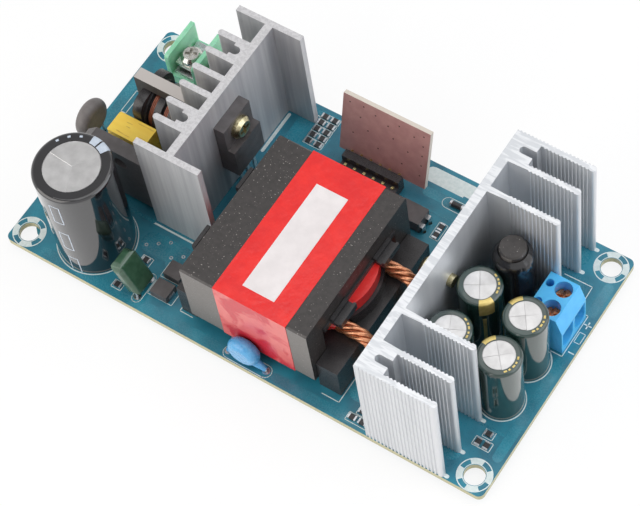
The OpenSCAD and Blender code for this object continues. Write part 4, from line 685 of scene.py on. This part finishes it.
# a square hollow end on the former, and three narrow sections of wire between black walls
chokeCoil = dict(ends=(-49.0, -38.5), bore=3.0, wall=6.15, tube=5.1, lip=0.12, sides=56,
    sections=((-47.6, -45.9), (-43.95, -42.3), (-40.35, -38.95)),
    cup=(-50.6, -48.1), cupWidth=13.1, cupCorner=3.6, cupWall=0.8, cupDepth=1.4, cupEdge=0.15,
    wire=0.24, turns=4, perTurn=30, clear=0.02, dropStep=0.5, dropPoints=15, dropOut=0.2)
axisY, axisZ = middleOf(*boxOf("choke_core"))[1:]
wall, tube, lip, wireRadius = (chokeCoil[key] for key in ("wall", "tube", "lip", "wire"))
low, high = chokeCoil["ends"]
line = [(low, chokeCoil["bore"]), (low, wall)]
for start, stop in chokeCoil["sections"]:
    line += [(start - lip, wall), (start, wall - lip), (start, tube),
        (stop, tube), (stop, wall - lip), (stop + lip, wall)]
line += [(high, wall), (high, chokeCoil["bore"])]
former = pointLine((0, axisY, axisZ), line + line[:1])
turnLine(former, "X", 360, chokeCoil["sides"])
low, high = chokeCoil["cup"]
bpy.ops.mesh.primitive_cube_add(size=1, location=((low + high) / 2 * mm, axisY * mm, axisZ * mm),
    scale=((high - low) * mm, chokeCoil["cupWidth"] * mm, chokeCoil["cupWidth"] * mm))
cup = bpy.context.object
bpy.ops.object.transform_apply(location=False, rotation=False, scale=True)
bpy.ops.object.mode_set(mode="EDIT")
pick(cup, "edges", lambda edge: abs(edge.verts[0].co.x - edge.verts[1].co.x) > 1 * mm)
bpy.ops.mesh.bevel(offset=chokeCoil["cupCorner"] * mm, segments=6, affect="EDGES")
pick(cup, "faces", lambda face: face.normal.x < -0.9)
bpy.ops.mesh.inset(thickness=chokeCoil["cupWall"] * mm)
bpy.ops.transform.translate(value=(chokeCoil["cupDepth"] * mm, 0, 0))
bpy.ops.object.mode_set(mode="OBJECT")
applyModifier(cup, "BEVEL",
    {"width": chokeCoil["cupEdge"] * mm, "segments": 2, "limit_method": "ANGLE"})
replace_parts(finishPiece([former, cup], "choke_former", finishes["black_plastic"]),
    "choke_bobbin")

windings = []
reach = tube + wireRadius + chokeCoil["clear"]
lastTurn = chokeCoil["turns"] - 1
for start, stop in chokeCoil["sections"]:
    pitch = (stop - start - 2 * wireRadius) / lastTurn
    points = []
    for k in range(chokeCoil["turns"] * chokeCoil["perTurn"] + 1):
        turns = k / chokeCoil["perTurn"]
        a = 2 * math.pi * turns
        points.append((start + wireRadius + pitch * min(turns, lastTurn),
            axisY + reach * math.sin(a), axisZ + reach * math.cos(a)))
    windings.append(wire(points, wireRadius, 2))
    for side in (-1, 1):    # wire ends go down to the base
        points = [((start + stop) / 2, axisY + side * (tube + chokeCoil["dropOut"]),
            axisZ - chokeCoil["dropStep"] * k) for k in range(chokeCoil["dropPoints"])]
        windings.append(wire(points, wireRadius, 2))
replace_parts(finishPiece(windings, "choke_wire_turns", finishes["choke_copper"], smooth=50),
    "choke_windings")


# print or film round a can: a line of points turned about the can's axis, from start on by sweep
def wrappedPatch(x, y, profile, start, sweep, thick=0.025, perFace=5):
    piece = pointLine((x, y, 0), profile)
    turnLine(piece, "Z", sweep, max(3, int(abs(sweep) / perFace)))
    piece.rotation_euler = (0, 0, math.radians(start))
    bpy.ops.object.transform_apply(location=False, rotation=True, scale=False)
    bpy.ops.object.mode_set(mode="EDIT")
    bpy.ops.mesh.select_all(action="SELECT")
    bpy.ops.mesh.normals_make_consistent(inside=False)
    bpy.ops.object.mode_set(mode="OBJECT")
    if thick:
        applyModifier(piece, "SOLIDIFY", {"thickness": thick * mm, "offset": 0.0})
    return piece


stand = 0.015       # print stands this far off a sleeve


# outer line of a can's sleeve from the bare disc over the rim and down the side
def rimLine(radius, top, discRadius, down, rim=0.8, gap=0.1, steps=4):
    line = [(discRadius + gap, top + stand), (radius - rim, top + stand)]
    for a in (15, 30, 45, 60, 75, 90):
        line.append((radius - rim + (rim + stand) * math.sin(math.radians(a)),
            top - rim + (rim + stand) * math.cos(math.radians(a))))
    return line + [(radius + stand, top - rim - (down - rim) * k / steps) for k in range(1, steps + 1)]


def sideLine(radius, high, low):
    return [(radius + stand, high), (radius + stand, (high + low) / 2), (radius + stand, low)]


print("rod choke sleeve")
# sleeve shrunk over the rod choke: full round over the winding, drawn in under the bare knob,
# with a fold pushed out where the tube had room to spare
rodSleeve = dict(neck=3.15, neckTop=25.6, foot=1.65,
    wall=((3.3, 25.75), (3.5, 25.35), (3.95, 24.75), (4.3, 24.1), (4.45, 23.2), (4.4, 21.6),
        (4.28, 19.0), (4.42, 15.5), (4.36, 11.0), (4.46, 6.0), (4.4, 3.0), (4.3, 1.65)),
    foldAt=-15, foldHalf=13, foldFrom=22, foldTo=25, foldOutside=3.8, fold=(0.35, -0.1, -0.2))
rodX, rodY = middleOf(*boxOf("output_choke_sleeve"))[:2]
foot = (rodSleeve["neck"], rodSleeve["foot"])
sleeve = wrappedPatch(rodX, rodY,
    [foot, (rodSleeve["neck"], rodSleeve["neckTop"]), *rodSleeve["wall"], foot], 0, 360, thick=0)


def inFold(vertex):
    around = math.degrees(math.atan2(vertex.co.y, vertex.co.x))
    return (abs(around - rodSleeve["foldAt"]) < rodSleeve["foldHalf"]
        and rodSleeve["foldFrom"] * mm < vertex.co.z < rodSleeve["foldTo"] * mm
        and vertex.co.xy.length > rodSleeve["foldOutside"] * mm)


bpy.ops.object.mode_set(mode="EDIT")
pick(sleeve, "verts", inFold)
bpy.ops.transform.translate(value=[c * mm for c in rodSleeve["fold"]])
bpy.ops.object.mode_set(mode="OBJECT")
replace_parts(finishPiece([sleeve], "rod_choke_shrunk_sleeve", finishes["shrink_sleeve"],
    smooth=50), "output_choke_sleeve")

print("capacitor print")
# bronze powder ink on film: dull gold, half metal
goldInk = surface("gold_printing_ink", dict(colour="e0c981", tone="c9b36a", patch=1.0,
    grain=0.2, rough=(0.3, 0.45), relief=0.004, shader={"Metallic": 0.55}))
# pale ink on black film: cool grey blue, as glossy as the film
paleInk = surface("pale_blue_printing_ink", dict(colour="c9d3e0", tone="b9c4d2", patch=1.5,
    grain=0.3, rough=(0.25, 0.4), relief=0.004))
# a block over the rim with a line below it, and a row of short marks; start and sweep in degrees,
# depths in millimetres below the top
capPrint = dict(radius=5, disc=3.6, blockAt=(-42, 148, -48, 150), block=(-20, 40), blockDown=4.6,
    line=(-12, 9), lineFrom=6.2, lineTo=17.5,
    marksAt=(60, 20, 60, 15), marks=5, markEvery=15, markWidths=(10, 7), markBand=(3.85, 4.25))
capTop = boxOf("output_capacitor_sleeves")[1][2]
goldMarks = []
for (x, y), blockAt, marksAt in zip(outputCans, capPrint["blockAt"], capPrint["marksAt"]):
    start, sweep = capPrint["block"]
    goldMarks.append(wrappedPatch(x, y,
        rimLine(capPrint["radius"], capTop, capPrint["disc"], capPrint["blockDown"]),
        blockAt + start, sweep))
    start, sweep = capPrint["line"]
    goldMarks.append(wrappedPatch(x, y,
        sideLine(capPrint["radius"], capTop - capPrint["lineFrom"], capTop - capPrint["lineTo"]),
        blockAt + start, sweep))
    for k in range(capPrint["marks"]):
        goldMarks.append(wrappedPatch(x, y, [(r, capTop + stand) for r in capPrint["markBand"]],
            marksAt - capPrint["markEvery"] * k, capPrint["markWidths"][k % 2]))
finishPiece(goldMarks, "output_cap_print", goldInk)

# two blocks over the rim, a wide stripe and three empty frames down the side, dashes on the rim
bulkPrint = dict(disc=6.65, rimBlocks=((58, 17), (78, 14)), rimDown=3.0,
    stripe=(64, 18), stripeFrom=4, stripeTo=28,
    dashesAt=(108, 128, 148), dash=5, dashBand=(7.5, 8.0),
    framesFrom=(3.2, 14.6, 25.4), frameTall=7, frameLine=0.3, frameLines=(0, 6.8),
    frameAcross=(-93, 16.6), frameSides=((-93, 1.6), (-78, 1.6)))
bulkR, bulkTop = (bulkHigh[0] - bulkLow[0]) / 2, bulkHigh[2]
patches = []    # line of points, start and sweep
for start, sweep in bulkPrint["rimBlocks"]:
    patches.append((rimLine(bulkR, bulkTop, bulkPrint["disc"], bulkPrint["rimDown"]), start, sweep))
patches.append((sideLine(bulkR, bulkTop - bulkPrint["stripeFrom"], bulkTop - bulkPrint["stripeTo"]),
    *bulkPrint["stripe"]))
for start in bulkPrint["dashesAt"]:
    patches.append(([(r, bulkTop + stand) for r in bulkPrint["dashBand"]], start, bulkPrint["dash"]))
for down in bulkPrint["framesFrom"]:
    for start, sweep in bulkPrint["frameSides"]:
        patches.append((sideLine(bulkR, bulkTop - down, bulkTop - down - bulkPrint["frameTall"]),
            start, sweep))
    for low in bulkPrint["frameLines"]:
        patches.append((sideLine(bulkR, bulkTop - (down + low),
            bulkTop - (down + low) - bulkPrint["frameLine"]), *bulkPrint["frameAcross"]))
finishPiece([wrappedPatch(bulkX, bulkY, *patch) for patch in patches],
    "bulk_cap_print", paleInk)


# bare can top: flat sectors between the scored lines, each tipped by a degree or so
def scoredTop(x, y, top, radius, turn, tilts, score=0.07, proud=0.06, hingeUp=0.04):
    parts = []
    sweep = 360 / len(tilts)
    for k, tilt in enumerate(tilts):
        bpy.ops.mesh.primitive_circle_add(vertices=72, radius=radius * mm, fill_type="TRIFAN",
            location=(x * mm, y * mm, top * mm))
        piece = bpy.context.object
        middle = math.radians(turn + sweep * (k + 0.5))

        def offSector(face):
            place = face.calc_center_median()
            around = math.atan2(place.y, place.x) - middle
            return abs((around + math.pi) % (2 * math.pi) - math.pi) > math.radians(sweep / 2)

        bpy.ops.object.mode_set(mode="EDIT")
        pick(piece, "faces", offSector)
        bpy.ops.mesh.delete(type="FACE")
        bpy.ops.mesh.select_all(action="SELECT")
        bpy.ops.mesh.dissolve_limited(angle_limit=math.radians(5))
        bpy.ops.mesh.select_all(action="SELECT")
        bpy.ops.mesh.inset(thickness=score * mm)
        bpy.ops.transform.translate(value=(0, 0, proud * mm))
        hinge = "X" if abs(math.sin(middle)) > abs(math.cos(middle)) else "Y"
        bpy.ops.transform.rotate(value=math.radians(tilt), orient_axis=hinge,
            center_override=(x * mm, y * mm, (top + hingeUp) * mm))
        bpy.ops.object.mode_set(mode="OBJECT")
        parts.append(piece)
    return parts


print("can tops")
canTops = dict(below=0.1, radius=3.46, turns=(30, 34, 24, 38), tilts=(1.2, -0.8, 0.9, -1.1),
    bulkRadius=6.5, bulkTurn=56, bulkTilts=(0.8, -0.9, 1.0))
tops = []
for (x, y), turn in zip(outputCans, canTops["turns"]):
    tops += scoredTop(x, y, capTop - canTops["below"], canTops["radius"], turn, canTops["tilts"])
tops += scoredTop(bulkX, bulkY, bulkTop - canTops["below"], canTops["bulkRadius"],
    canTops["bulkTurn"], canTops["bulkTilts"])
finishPiece(tops, "can_top_sectors", finishes["can_aluminium"], smooth=0)

print("control board vias")
# each via: along the board and up its face, which leans back; foot is where its middle stands
controlVias = dict(foot=(2.85, 24, 4.9), lean=math.radians(15), radius=0.2, thick=0.03,
    rim=0.07, depth=0.01, sides=14,
    places=((-9.6, 15.4), (-6.0, 15.8), (-2.8, 14.9), (0.6, 13.6), (3.4, 15.2), (7.4, 14.2),
        (9.8, 15.6), (9.9, 12.6), (9.9, 9.6), (9.9, 6.6), (9.8, 3.4), (6.2, 8.8), (2.2, 10.6),
        (-4.4, 9.2), (-8.2, 6.6), (-1.4, 5.4), (5.0, 4.4), (-6.6, 12.2)))
footX, footY, footZ = controlVias["foot"]
lean = controlVias["lean"]
viaDots = []
for along, up in controlVias["places"]:
    bpy.ops.mesh.primitive_cylinder_add(vertices=controlVias["sides"],
        radius=controlVias["radius"] * mm, depth=controlVias["thick"] * mm,
        location=((footX + along) * mm, (footY + up * math.sin(lean)) * mm,
            (footZ + up * math.cos(lean)) * mm),
        rotation=(math.radians(90) - lean, 0, 0))
    dot = bpy.context.object
    bpy.ops.object.mode_set(mode="EDIT")
    pick(dot, "faces", lambda face: len(face.verts) > 4)
    bpy.ops.mesh.inset(thickness=controlVias["rim"] * mm, depth=-controlVias["depth"] * mm)
    bpy.ops.object.mode_set(mode="OBJECT")
    viaDots.append(dot)
# old solder in a via: a small dark brown dot with no shine
darkVia = surface("oxidised_via_rim", dict(colour="4f3a3c", tone="3c2c2e", patch=0.6,
    grain=0.1, rough=(0.4, 0.6), relief=0.004))
finishPiece(viaDots, "control_board_vias", darkVia, smooth=0)

print("floor")
# white paper that shows almost as bright as the room, and still takes the object's shadow
paperSweep = dict(size=3, parts=8, gap=0.05, lift=0.84)
bpy.ops.mesh.primitive_grid_add(x_subdivisions=paperSweep["parts"],
    y_subdivisions=paperSweep["parts"], size=paperSweep["size"],
    location=(0, 0, boxAtLoad[0].z - paperSweep["gap"] * mm))
floor = bpy.context.object
floor.name = "floor"
# uncoated paper: flat white with no shine
paper = surface("white_paper_sweep", dict(colour="ffffff", tone="fafafa", patch=60,
    grain=2.0, rough=(0.7, 0.85), relief=0.01))
tree = paper.node_tree
lift = addNode(tree, "ShaderNodeMath", {"operation": "MULTIPLY", 1: paperSweep["lift"]},
    {0: seenRays(tree)})
glow = addNode(tree, "ShaderNodeEmission", {"Color": linearColor("ffffff"), "Strength": 1.0})
output = tree.nodes["Material Output"]
lifted = addNode(tree, "ShaderNodeMixShader", links={0: lift.outputs[0],
    1: output.inputs["Surface"].links[0].from_socket, 2: glow.outputs[0]})
# seen from below the paper is left out, so the underside of the board can be looked at
side = addNode(tree, "ShaderNodeNewGeometry")
clear = addNode(tree, "ShaderNodeBsdfTransparent")
sheet = addNode(tree, "ShaderNodeMixShader",
    links={0: side.outputs["Backfacing"], 1: lifted.outputs[0], 2: clear.outputs[0]})
tree.links.new(sheet.outputs[0], output.inputs["Surface"])
floor.data.materials.append(paper)

print("done")
